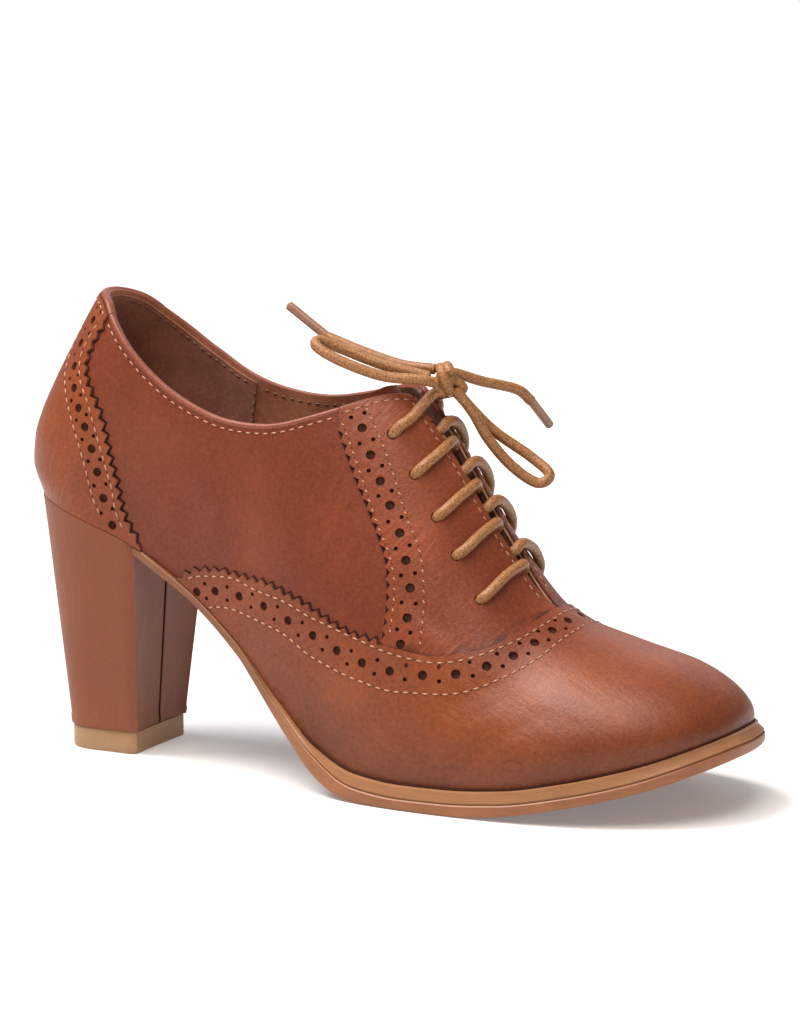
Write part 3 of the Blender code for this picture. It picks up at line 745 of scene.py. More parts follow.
def through(places, step):
    """Points on a smooth curve through a few places, about a step apart."""
    places = np.array(places, float)
    padded = np.vstack([2 * places[0] - places[1], places, 2 * places[-1] - places[-2]])
    route = []
    for i in range(len(places) - 1):
        a, b, c, d = padded[i:i + 4]
        for t in np.linspace(0, 1, 12, endpoint=False):
            bend = (2 * a - 5 * b + 4 * c - d) * t ** 2 + (3 * b - 3 * c + d - a) * t ** 3
            route.append(b + 0.5 * ((c - a) * t + bend))
    route = np.array(route + [places[-1]])
    length = lengths(route)
    even = np.linspace(0, length[-1], max(3, int(length[-1] / step) + 1))
    return np.stack([np.interp(even, length, route[:, k]) for k in range(3)], -1)


def add_tube(bm, route, radius, sides=12):
    """A round cord along a route with rounded ends, and a UV map: once round, and millimetres along."""
    route = np.asarray(route, float)
    ahead = unit(np.gradient(route, axis=0))
    level = np.cross(ahead[0], (0.31, 0.2, 0.93))
    length = lengths(route)
    rings, marks = [], list(length)
    around = np.linspace(0, 2 * pi, sides + 1)
    for centre, way in zip(route, ahead):
        level = unit(level - way * (level @ way))
        ring = np.cos(around)[:, None] * level + np.sin(around)[:, None] * np.cross(way, level)
        rings.append(centre + ring * radius)
    for end, way, mark in ((0, -ahead[0], 0.0), (-1, ahead[-1], length[-1])):
        caps = [route[end] + (rings[end] - route[end]) * share + way * radius * 0.5 * (1 - share)
                for share in (0.6, 0.02)]
        rings = caps[::-1] + rings if end == 0 else rings + caps
        marks = [mark, mark] + marks if end == 0 else marks + [mark, mark]
    uv = bm.loops.layers.uv.get("lace") or bm.loops.layers.uv.new("lace")
    verts, _ = add_sheet(bm, np.array(rings))
    spots = {vert: (k % (sides + 1) / sides, marks[k // (sides + 1)]) for k, vert in enumerate(verts)}
    for face in {face for vert in verts for face in vert.link_faces}:
        for loop in face.loops:
            loop[uv].uv = spots[loop.vert]
    bmesh.ops.remove_doubles(bm, verts=verts, dist=1e-7)


def linear(colour):
    """A colour for a shader from an sRGB hex value."""
    srgb = np.array([int(colour[i:i + 2], 16) / 255 for i in (1, 3, 5)])
    return (*np.where(srgb <= 0.04045, srgb / 12.92, ((srgb + 0.055) / 1.055) ** 2.4), 1.0)


def node(tree, kind, inputs=None, out=0, **settings):
    """One of the outputs of a new node, with its settings, its values and its links."""
    made = tree.nodes.new(kind)
    for name, value in settings.items():
        setattr(made, name, value)
    for name, value in (inputs or {}).items():
        if isinstance(value, bpy.types.NodeSocket):
            tree.links.new(value, made.inputs[name])
        else:
            made.inputs[name].default_value = value
    return made.outputs[out]


def new_material(name, **values):
    """A new material's node tree, its shader's inputs and the object's own coordinates."""
    made = bpy.data.materials.new(name)
    made.use_nodes = True
    tree = made.node_tree
    shader = tree.nodes["Principled BSDF"].inputs
    for key, value in values.items():
        shader[key.replace("_", " ")].default_value = value
    return tree, shader, node(tree, "ShaderNodeTexCoord", out="Object")


def per(millimetres):
    """A pattern's scale for a feature of a size, on coordinates in metres."""
    return 1.0 / (millimetres * MM)


def noise(tree, place, size, detail, **values):
    """Noise whose features have a size in millimetres."""
    return node(tree, "ShaderNodeTexNoise", {"Vector": place, "Scale": per(size), "Detail": detail, **values})


def maths(tree, operation, *values):
    return node(tree, "ShaderNodeMath", dict(enumerate(values)), operation=operation)


def ranged(tree, value, low, high, start=0.0, end=1.0, **settings):
    """A value brought from one range into another."""
    return node(tree, "ShaderNodeMapRange", {
        "Value": value, "From Min": low, "From Max": high, "To Min": start, "To Max": end}, **settings)


def shaded(tree, colour, share):
    """A colour made darker by a share."""
    return node(tree, "ShaderNodeVectorMath", {0: colour, "Scale": share}, operation="SCALE")


def above_sole(tree, place):
    """Height above the forefoot's sole edge in metres, from a curve of that edge along the shoe."""
    split = node(tree, "ShaderNodeSeparateXYZ", {0: place}).node.outputs
    share = ranged(tree, split["X"], -MIDDLE_AT * MM, MIDDLE_AT * MM)
    sole = node(tree, "ShaderNodeFloatCurve", {"Value": share})
    curve = sole.node.mapping.curves[0]
    lower = SECTIONS["feather"] - 25 * (1 - ease((SECTIONS["at"] - 70) / 45))
    rows = [(at / (2 * MIDDLE_AT), high / 100) for at, high in zip(SECTIONS["at"], lower)]
    curve.points[0].location, curve.points[-1].location = rows[0], rows[-1]
    for row in rows[1:-1]:
        curve.points.new(*row)
    sole.node.mapping.update()
    return maths(tree, "MULTIPLY_ADD", sole, -0.1, split["Z"])


def two_tone(tree, value, low, high, dark, light):
    """A colour that goes from one tone to another as a pattern's value rises."""
    return node(tree, "ShaderNodeMix", {
        "Factor": ranged(tree, value, low, high), 6: linear(dark), 7: linear(light)}, out=2, data_type="RGBA")


def coloured(tree, shader, colour, *reliefs):
    """Give a shader its colour and its reliefs, each a pattern, a strength and a depth in millimetres."""
    tree.links.new(colour, shader["Base Color"])
    below = {}
    for height, strength, deep in reliefs:
        below = {"Normal": node(tree, "ShaderNodeBump", {
            "Height": height, "Strength": strength, "Distance": deep * MM, **below})}
    tree.links.new(below["Normal"], shader["Normal"])


def smooth_leather(name, light, dark, roughness=0.42, gloss=0.32, low_shade=(18, 0.7), lean=-70, stains=(),
                   fold_shaded=False):
    """Drum-dyed calf with a light wax finish: pebbled grain, fine wrinkles, cloudy dye and a satin sheen."""
    tree, shader, place = new_material(
        name, Specular_IOR_Level=gloss, Coat_Weight=0.04, Coat_Roughness=0.35, Roughness=roughness)
    clouds = noise(tree, place, 38, 2.0)
    mottle = noise(tree, place, 1.1, 4.0, Roughness=0.7)
    blend = maths(tree, "MULTIPLY_ADD", mottle, 1.7, clouds)
    # Wrinkles about 1.2 mm apart and 7 mm long, all leaning one way, in patches.
    streaked = node(tree, "ShaderNodeMapping", {
        "Vector": place, "Rotation": (0, radians(lean), 0), "Scale": (6, 2.5, 1)}, vector_type="TEXTURE")
    wrinkle = noise(tree, streaked, 1.9, 3.0, Distortion=0.5)
    where = ranged(tree, noise(tree, place, 22, 1.0), 0.4, 0.62, 0.15)
    folds = maths(tree, "MULTIPLY", wrinkle, where)
    # Painted shade and highlight: the wrinkles also tint the colour, darker in their troughs and lighter on
    # their crests.
    tone_with_fold_shade = maths(tree, "MULTIPLY_ADD", folds, 0.5, blend)
    colour = two_tone(tree, tone_with_fold_shade, 1.1, 1.9, dark, light)
    if low_shade:
        # Painted shade: the colour is darkened towards the welt, standing in for the lower light there.
        height, least = low_shade
        colour = shaded(tree, colour, ranged(
            tree, above_sole(tree, place), 0.0, height * MM, least, interpolation_type="SMOOTHSTEP"))
    if fold_shaded:
        # Painted shade: near the wing's seam the colour darkens in short streaks about 2 mm apart, standing
        # in for the shade in the folds that the seam gathers.
        near = node(tree, "ShaderNodeAttribute", out="Fac", attribute_name="seam_fold_shade")
        deep = ranged(tree, noise(tree, streaked, 2.2, 2.0), 0.42, 0.6)
        colour = shaded(tree, colour, ranged(tree, maths(tree, "MULTIPLY", deep, near), 0.0, 1.0, 1.0, 0.4))
    for spot, ring in stains:
        # A faint rubbed mark: a smudge, or the ring that a drop has left.
        local = node(tree, "ShaderNodeMapping", {
            "Vector": place, "Location": spot, "Scale": (1, 1, 0.5)}, vector_type="TEXTURE")
        away = node(tree, "ShaderNodeVectorMath", {0: local}, out="Value", operation="LENGTH")
        ragged = maths(tree, "MULTIPLY_ADD", mottle, 2.4 * MM, away)
        band = maths(tree, "ABSOLUTE", maths(tree, "SUBTRACT", ragged, ring * MM))
        wide = 0.9 if ring > 2 else 2.6
        colour = shaded(tree, colour, ranged(tree, band, 0.2 * MM, wide * MM, 0.84))
    # The real grain is about 0.3 mm, drawn at 0.8 mm so that it shows.
    grain = node(tree, "ShaderNodeTexVoronoi", {"Vector": place, "Scale": per(0.8)}, feature="F1")
    fine = noise(tree, place, 1.6, 5.0, Roughness=0.6)
    tree.links.new(ranged(tree, fine, 0.0, 1.0, roughness - 0.1, roughness + 0.12), shader["Roughness"])
    coloured(tree, shader, colour, (folds, 0.9, 0.3), (fine, 0.45, 0.15), (grain, 0.5, 0.08))


def suede(name, colour, dark):
    """Pigskin suede: a short nap that breaks the light into soft specks."""
    tree, shader, place = new_material(
        name, Roughness=0.9, Specular_IOR_Level=0.2, Sheen_Weight=0.25, Sheen_Roughness=0.5)
    nap = noise(tree, place, 1.1, 6.0, Roughness=0.7)
    both = maths(tree, "ADD", nap, noise(tree, place, 14, 2.0))
    coloured(tree, shader, two_tone(tree, both, 0.75, 1.25, dark, colour), (nap, 0.5, 0.2))


def sole_edge(name, colour, dark):
    """Trimmed and stained sole edge: fine streaks along the edge under a thin wax."""
    tree, shader, place = new_material(
        name, Roughness=0.5, Specular_IOR_Level=0.4, Coat_Weight=0.12, Coat_Roughness=0.35)
    flat = node(tree, "ShaderNodeMapping", {"Vector": place, "Scale": (0.1, 0.1, 1.0)})
    streak = noise(tree, flat, 0.9, 4.0)
    both = maths(tree, "ADD", streak, noise(tree, place, 12, 3.0))
    stain = two_tone(tree, both, 0.7, 1.3, dark, colour)
    # The edge is darker along the waist than at the forefoot.
    along = node(tree, "ShaderNodeSeparateXYZ", {0: place}, out="X")
    start, end = ((at - MIDDLE_AT) * MM for at in WAIST_DARK)
    waist = ranged(tree, along, start, end, WAIST_TONE, interpolation_type="SMOOTHSTEP")
    coloured(tree, shader, shaded(tree, stain, waist), (streak, 0.2, 0.08))


def waxed_braid(name, colour, dark):
    """Waxed cotton braid: fine yarns that cross in a faint diamond, specked where wax catches the light."""
    tree, shader, place = new_material(
        name, Roughness=0.45, Specular_IOR_Level=0.4, Coat_Weight=0.12, Coat_Roughness=0.35)
    uv = node(tree, "ShaderNodeUVMap", uv_map="lace")
    split = node(tree, "ShaderNodeSeparateXYZ", {0: uv}).node.outputs
    # Six yarns each way, one crossing every 1.9 mm along the lace.
    around = maths(tree, "MULTIPLY", split["X"], 6 * 2 * pi)
    along = maths(tree, "MULTIPLY", split["Y"], 2 * pi / 1.9)
    yarns = [maths(tree, "SINE", maths(tree, lay, around, along)) for lay in ("ADD", "SUBTRACT")]
    fuzz = noise(tree, place, 0.55, 3.0, Roughness=0.7)
    height = maths(tree, "MULTIPLY_ADD", maths(tree, "MULTIPLY", *yarns), 0.05, fuzz)
    coloured(tree, shader, two_tone(tree, height, 0.34, 0.7, dark, colour), (height, 0.6, 0.3))


def plain_speckled(name, colour, dark, grit, roughness, **values):
    """A moulded or cut face with a fine speckle: rubber, thread, film or raw leather."""
    tree, shader, place = new_material(name, Roughness=roughness, **values)
    speck = noise(tree, place, grit, 4.0)
    coloured(tree, shader, two_tone(tree, speck, 0.3, 0.7, dark, colour), (speck, 0.2, 0.06))


def finishes(context):
    """The shoe's materials, made once."""
    colours = context.scene.shoe_colours
    known = bpy.data.materials
    if "calf leather" in known:
        return known
    spots = [(tuple(to_metres(surface(at, turn, -1))), ring) for at, turn, ring in STAINS]
    # Painted light: the quarters, vamp, facings and counter are one calf; the vamp, facings and counter are
    # given lighter tones than the quarters, standing in for how the light falls on each.
    smooth_leather("calf leather", colours.leather, colours.leather_dark)
    smooth_leather("vamp calf leather, painted lighter", "#86431F", "#662C15", low_shade=(30, 0.7), lean=24, stains=spots)
    smooth_leather("facing calf leather, painted lighter", "#894121", "#662D16", lean=-52, fold_shaded=True)
    smooth_leather("counter calf leather, painted lighter", "#8B431D", "#692E14")
    # Painted highlight: the roll is the quarters' calf in a lighter, pinker tone, standing in for the light
    # along the collar.
    smooth_leather("rolled collar leather with painted highlight", "#874830", "#723622", 0.42, 0.36, None)
    smooth_leather("heel cover leather", colours.heel, "#7A442D", 0.5, 0.18, None, -85)
    plain_speckled("cut leather edge", colours.raw_edge, "#A77C58", 0.8, 0.8)
    plain_speckled("pinked leather edge", "#6A3826", "#4A2416", 0.8, 0.75)
    # Painted shadow: near-black for the lines under the cut edges and above the welt; it also colours the
    # dark seam down the heel's breast.
    plain_speckled("dark dye and painted shadow", "#3A1A10", "#2A110A", 1.2, 0.7, Specular_IOR_Level=0.15)
    plain_speckled("painted hole shade", colours.punched, "#2E1A14", 0.8, 0.85, Specular_IOR_Level=0.1)
    suede("pigskin suede", colours.lining, "#8B4F32")
    suede("heel grip suede", colours.grip, "#723F2F")
    smooth_leather("sock leather", "#80543B", "#6B422E", 0.55, 0.3, None)
    plain_speckled("polyester thread", colours.thread, "#A27254", 0.5, 0.5, Sheen_Weight=0.2)
    plain_speckled("lining thread", "#7E573E", "#5E3D2A", 0.5, 0.6)
    waxed_braid("waxed cotton braid", colours.lace, "#683B1C")
    plain_speckled("aglet film", colours.aglet, "#8A5E48", 1.5, 0.25, Transmission_Weight=0.25, IOR=1.45)
    sole_edge("stained welt", colours.welt, "#855937")
    sole_edge("stained outsole", colours.outsole, "#824C2A")
    plain_speckled("top piece rubber", colours.top_piece, "#9A744F", 0.6, 0.5)
    return known


def aim(thing, target):
    """Point a camera or a lamp at a place."""
    thing.rotation_euler = (Vector(target) - thing.location).to_track_quat("-Z", "Y").to_euler()


class SHOE_OT_stage(bpy.types.Operator):
    """Make the floor, the studio light and the camera"""

    bl_idname = "shoe.stage"
    bl_label = "Stage"

    def execute(self, context):
        scene = context.scene
        camera = bpy.data.objects.new("camera", bpy.data.cameras.new("camera"))
        camera.data.lens, camera.data.sensor_width = LENS, SENSOR
        camera.location = CAMERA_AT
        aim(camera, CAMERA_AIM)
        scene.collection.objects.link(camera)
        scene.camera = camera
        scene.view_settings.view_transform = "Standard"

        bm = bmesh.new()
        bmesh.ops.create_grid(bm, x_segments=1, y_segments=1, size=20)
        floor = new_object("floor", bm)
        # A shooting table, lit faintly from below so that shadows stay soft.
        new_material(
            "opal acrylic", Roughness=0.9, Base_Color=linear("#D6D6D6"), Emission_Color=linear("#FFFFFF"),
            Emission_Strength=0.18)
        floor.data.materials.append(bpy.data.materials["opal acrylic"])

        world = bpy.data.worlds.new("studio")
        world.use_nodes = True
        sky = world.node_tree.nodes["Background"].inputs
        sky["Color"].default_value = linear("#FFFFFF")
        sky["Strength"].default_value = 0.28
        scene.world = world
        for name, (kind, power, tint, place) in LIGHTS.items():
            light = bpy.data.lights.new(name, kind)
            light.energy = power
            light.color = linear(tint)[:3]
            if kind == "SUN":
                light.angle = radians(SUN_ANGLE)
            else:
                light.size = LAMP_SIZE
            lamp = bpy.data.objects.new(name, light)
            lamp.location = place
            aim(lamp, LIGHT_AIM)
            scene.collection.objects.link(lamp)
        return {"FINISHED"}


class SHOE_OT_bow(bpy.types.Operator):
    """Make the bow: its loops, its ends with their aglets, and the knot"""

    bl_idname = "shoe.bow"
    bl_label = "Bow"

    def execute(self, context):
        sizes, known = context.scene.shoe_sizes, finishes(context)
        lace = known["waxed cotton braid"]
        radius = sizes.mm("lace") / 2
        for name, places in STRANDS.items():
            route = KNOT_AT + through(places, LACE_STEP)
            bm = bmesh.new()
            add_tube(bm, route, radius)
            strand = finish(name.replace("lace_", "bow_"), bm, [lace], [name], 60, closed=True)
            carried = []
            side = name.rsplit("_", 1)[1]
            if "end" in name:
                reach = np.array(AGLET_REACH[side])
                start = route[-1] - reach * 0.06
                tip = [start + reach * t for t in np.linspace(0, 1.04, 12)]
                bm = bmesh.new()
                add_tube(bm, tip, AGLET_RADIUS)
                film = [known["aglet film"]]
                carried = [finish("lace_tip_" + side, bm, film, ["aglet_" + side], 60, closed=True)]

        # The knot: a core, a wrap over the front and the turn behind it.
        bm = bmesh.new()
        bmesh.ops.create_uvsphere(bm, u_segments=16, v_segments=10, radius=1)
        for vert in bm.verts:
            vert.co = to_metres(KNOT_AT + np.array(vert.co) * KNOT_CORE)
        bow_way = unit(np.array((0.9, 0.43, 0.05)))
        front = unit(np.cross(bow_way, (0, 0, 1)))
        over = np.cross(front, bow_way)
        for start, end, wide, shift in ((-0.55, 1.45, 3.1, 0.0), (0.2, 1.1, 3.4, 2.0)):
            angles = np.linspace(start * pi, end * pi, 26)
            ring = [KNOT_AT + front * wide * cos(a) + over * 1.15 * wide * sin(a)
                    + bow_way * (shift - 1.2 * sin(a)) for a in angles]
            add_tube(bm, ring, radius * 0.98)
        finish("bow_knot", bm, [lace], ["lace_knot"], 60)
        return {"FINISHED"}


class SHOE_OT_lacing(bpy.types.Operator):
    """Run the lace through the eyelets, from the lowest pair up to the knot"""

    bl_idname = "shoe.lacing"
    bl_label = "Lacing"

    def crossing(self, row, side):
        """The lace from below one eyelet, over its facing, across the gap and under the other facing."""
        at, turn = EYELETS["at"][row], EYELETS["turn"][row]
        edge = float(top_edge(at + 3, side))
        way = [leather(at, turn, side, UNDER_LACE), leather(at, turn, side, 1.5)]
        turns = (turn + LACE_LEAVES[side], (turn + edge) / 2, edge - 0.015)
        for (step, depth), place in zip(LACE_OVER[side], turns):
            way.append(leather(at + step, place, side, depth))
        if row == 0:
            return way[:-1] + [KNOT_AT + end for end in LACE_TO_KNOT[side]]
        over = float(top_edge(at + 3, -side))
        (middle, low), (beyond, lower) = LACE_ACROSS[side]
        way += [leather(at + middle, 1.0, side, low), leather(at + beyond, over + 0.01, -side, lower)]
        above, higher = EYELETS["at"][row - 1], EYELETS["turn"][row - 1]
        way.append(leather((at + above) / 2 + 1.5, (over + higher) / 2, -side, UNDER_LACE))
        return way

    def execute(self, context):
        sizes, known = context.scene.shoe_sizes, finishes(context)
        bm = bmesh.new()
        lowest = len(EYELETS["at"]) - 1
        for first in BOTH:
            places = [leather(EYELETS["at"][lowest], 1.0, first, UNDER_LACE)]
            side = first
            for row in range(lowest, -1, -1):
                places += self.crossing(row, side)
                side = -side
            add_tube(bm, through(places, LACE_STEP), sizes.mm("lace") / 2)
        bars = [f"lace_bar_{row + 1}" for row in range(lowest + 1)]
        finish("lacing", bm, [known["waxed cotton braid"]], bars, 60)
        return {"FINISHED"}


class SHOE_OT_quarters(bpy.types.Operator):
    """Make the quarters with their lining, the rolled collar and the heel grip"""

    bl_idname = "shoe.quarters"
    bl_label = "Quarters"

    def execute(self, context):
        sizes, known = context.scene.shoe_sizes, finishes(context)
        bm = bmesh.new()
        for side in BOTH:
            top = top_line(HEEL_LINE, TOE_TIP, side, count=190)
            low = feather_line(HEEL_LINE, TOE_TIP, 90, side, 190)
            back = np.linspace((HEEL_LINE, 0), (HEEL_LINE, top[0, 1]), 44)
            front = np.linspace((TOE_TIP, 0), (TOE_TIP, 1), 44)
            drape(bm, patch(low, top, back, front), side, QUARTER_FACE)
        skins = [known["calf leather"], known["pigskin suede"], known["pinked leather edge"]]
        quarters = finish("quarters", bm, skins, ["upper"], merge=2e-5)
        thicken(quarters, QUARTER_WALL, rim=2, back=1)
        settle(quarters)
        for face in quarters.data.polygons:
            if face.material_index == 2 and face.center.x < (THROAT_TOP - 8 - MIDDLE_AT) * MM:
                face.material_index = 0
        punch(quarters, eyelet_holes(sizes, -1) + eyelet_holes(sizes, 1))

        bm = bmesh.new()
        seam, corner = COUNTER_EDGE[0][0], FACING_EDGE[0][0]
        heel = []
        for side in BOTH:
            for start, end, depth in ((seam + 0.3, corner - 0.3, 1.5), (corner + 0.1, ROLL_END, 1.15)):
                line = top_line(start, end, side, ROLL_INSET, step=1.0)
                add_tube(bm, leather(*line.T, side, depth), ROLL_RADIUS, 10)
            line = top_line(HEEL_LINE, seam, side, ROLL_INSET, step=0.8)
            heel.append(leather(*line.T, side, 1.3))
        add_tube(bm, np.vstack([heel[0][::-1], heel[1][1:]]), ROLL_RADIUS, 10)
        finish("collar_roll", bm, [known["rolled collar leather with painted highlight"]], sharp=60)

        bm = bmesh.new()
        for side in BOTH:
            line = top_line(THROAT_TOP, THROAT_END - 1, side, step=0.8)
            add_tube(bm, leather(*line.T, side, QUARTER_FACE + 0.2), RAW_EDGE_RADIUS, 8)
        finish("throat_raw_edge", bm, [known["cut leather edge"]], sharp=60)

        bm = bmesh.new()
        for side in BOTH:
            top = top_line(HEEL_LINE, GRIP_END, side, GRIP_INSET, count=40)
            low = [(x, GRIP_LOW) for x in (HEEL_LINE, *np.linspace(8, GRIP_FOOT, 30))]
            back = np.linspace((HEEL_LINE, GRIP_LOW), (HEEL_LINE, top[0, 1]), 30)
            front = np.linspace((GRIP_FOOT, GRIP_LOW), (GRIP_END, top[-1, 1]), 30)
            drape(bm, patch(evenly(low, side, count=40), top, back, front), side, GRIP_FACE)
        grip = finish("heel_grip", bm, [known["heel grip suede"]], merge=2e-5)
        thicken(grip, GRIP_WALL)
        settle(grip)
        return {"FINISHED"}


class SHOE_OT_overlays(bpy.types.Operator):
    """Make the wing, the facings and the counter, pinked and punched"""

    bl_idname = "shoe.overlays"
    bl_label = "Overlays"

    def overlay(self, context, name, parts, holes, nodes, skin):
        """One overlay from its sheets: grids of stations and turns with a side and a depth each."""
        sizes, known = context.scene.shoe_sizes, finishes(context)
        bm = bmesh.new()
        seam_fold_shade = bm.verts.layers.float.new("seam_fold_shade")
        for grid, side, depth in parts:
            verts, points = drape(bm, grid, side, depth)
            # A share, 1 at the wing's seam and fading a few millimetres away, that places the painted fold
            # shade.
            seam = surface(*evenly(WING_FRONT, side, count=120).T, side)
            for vert, point in zip(verts, points.reshape(-1, 3)):
                vert[seam_fold_shade] = 1 - float(ease(np.linalg.norm(seam - point, axis=1).min() / FOLD_SHADE_REACH))
        piece = finish(name, bm, [known[skin], known["pinked leather edge"]], nodes, merge=2e-5)
        thicken(piece, sizes.mm("overlay"), rim=1)
        settle(piece)
        punch(piece, holes)

    def paint_edge_shadow(self, context, lines):
        """Painted shadow along the cut edges: a fine dark line on the leather below them, with the dye that
        runs off the edges.
        """
        bm = bmesh.new()
        for line, side, depth in lines:
            drape(bm, line, side, depth)
        finish("edge_shadow", bm, [finishes(context)["dark dye and painted shadow"]])

    def strip(self, grid, side, depth, margin, until=TOE_TIP):
        """A narrow strip that follows an edge: three lines, the last a margin outside it."""
        return np.stack([pinked(grid, side, depth, m, until)[-1] for m in (-0.5, margin / 2, margin)])

    def paint_hole_shade(self, context, holes):
        """Painted shade: dark discs at the bottom of the punched holes, standing in for the shade inside
        them.
        """
        bm = bmesh.new()
        for at, turn, side, radius, lift in holes:
            place = turned(leather(at, turn, side, HOLE_SHADE_FACE - lift), normals(at, turn, side))
            bmesh.ops.create_circle(bm, cap_ends=True, segments=10, radius=(radius + 0.12) * MM, matrix=place)
        finish("hole_shade_discs", bm, [finishes(context)["painted hole shade"]], merge=1e-8)

    def execute(self, context):
        sizes = context.scene.shoe_sizes
        pitch, deep = sizes.mm("tooth") / TOOTH_COLUMNS, sizes.mm("tooth_depth")
        every, shadow_lines = [], []

        parts, holes = [], []
        for side in BOTH:
            ridge = [(x, 1.0) for x in np.linspace(WING_RIDGE_FROM, TOE_TIP, 24)]
            top = evenly(WING_EDGE + tuple(ridge), side, step=pitch)
            low = feather_line(WING_EDGE[0][0], TOE_TIP, 80, side, len(top))
            back = np.tile(top[0], (36, 1))
            tip = np.linspace((TOE_TIP, 0), (TOE_TIP, 1), 36)
            whole = patch(low, top, back, tip)
            grid = pinked(whole, side, deep, until=WING_PINKED_TO)
            parts.append((grid, side, -lap(grid[..., 0], grid[..., 1])))
            # Painted shadow: a dark line round the teeth of the wing's pinked edge.
            line = self.strip(whole, side, deep, 0.85, WING_PINKED_TO)
            shown = (whole[-1, :, 0] > WING_SHADOW_FROM) & (whole[-1, :, 0] < WING_PINKED_TO)
            shadow_lines.append((line[:, shown], side, SHADOW_FACE))
            holes += brogue_holes(sizes, "wing", side)
        self.overlay(context, "vamp", parts, holes, ["vamp_overlay"], "vamp calf leather, painted lighter")
        every += holes

        for side in BOTH:
            name = "lateral" if side < 0 else "medial"
            back = evenly(FACING_EDGE, side, step=pitch)
            throat = top_line(FACING_THROAT_FROM, THROAT_END - 0.5, side, count=len(back))
            collar = top_line(FACING_EDGE[0][0], FACING_THROAT_FROM, side, FACING_INSET, count=50)[::-1]
            back[0], throat[0] = collar[-1], collar[0]
            seam = evenly(FACING_SEAM, side, count=50)[::-1]
            seam[:, 1] = np.maximum(seam[:, 1] - 0.03, 0)
            seam[0], seam[-1] = throat[-1], back[-1]
            whole = patch(throat, back, collar, seam, 3)
            grid = pinked(whole, side, 0.8 * deep)
            # Painted shadow filling the notches between the facing's teeth.
            line = self.strip(whole, side, 0.0, 0.8 * deep - 0.05)
            shadow_lines.append((line[:, 4:], side, SHADOW_FACE))
            holes = brogue_holes(sizes, "facing", side)
            every += holes
            self.overlay(context, "facing_cover_" + name, [(grid, side, 0.0)],
                         holes + eyelet_holes(sizes, side), ["facing_" + name], "facing calf leather, painted lighter")

        parts, holes = [], []
        for side in BOTH:
            collar = top_line(HEEL_LINE, COUNTER_EDGE[0][0], side, COUNTER_INSET, count=40)
            below = [row for row in COUNTER_EDGE if row[1] < collar[-1, 1] - 0.01]
            front = evenly([tuple(collar[-1])] + below, side, step=pitch)
            back = np.linspace((HEEL_LINE, collar[0, 1]), (HEEL_LINE, 0), len(front))
            low = feather_line(HEEL_LINE, front[-1, 0], 60, side, 40)
            whole = patch(back, front, collar, low)
            grid = pinked(whole, side, 0.9 * deep)
            line = self.strip(whole, side, 0.9 * deep, 0.8)
            shadow_lines.append((line[:, 5:], side, SHADOW_FACE))
            parts.append((grid, side, 0.0))
            holes += brogue_holes(sizes, "counter", side)
        self.overlay(context, "counter", parts, holes, ["counter_overlay"], "counter calf leather, painted lighter")
        self.paint_hole_shade(context, every + holes)
        self.paint_edge_shadow(context, shadow_lines)
        return {"FINISHED"}


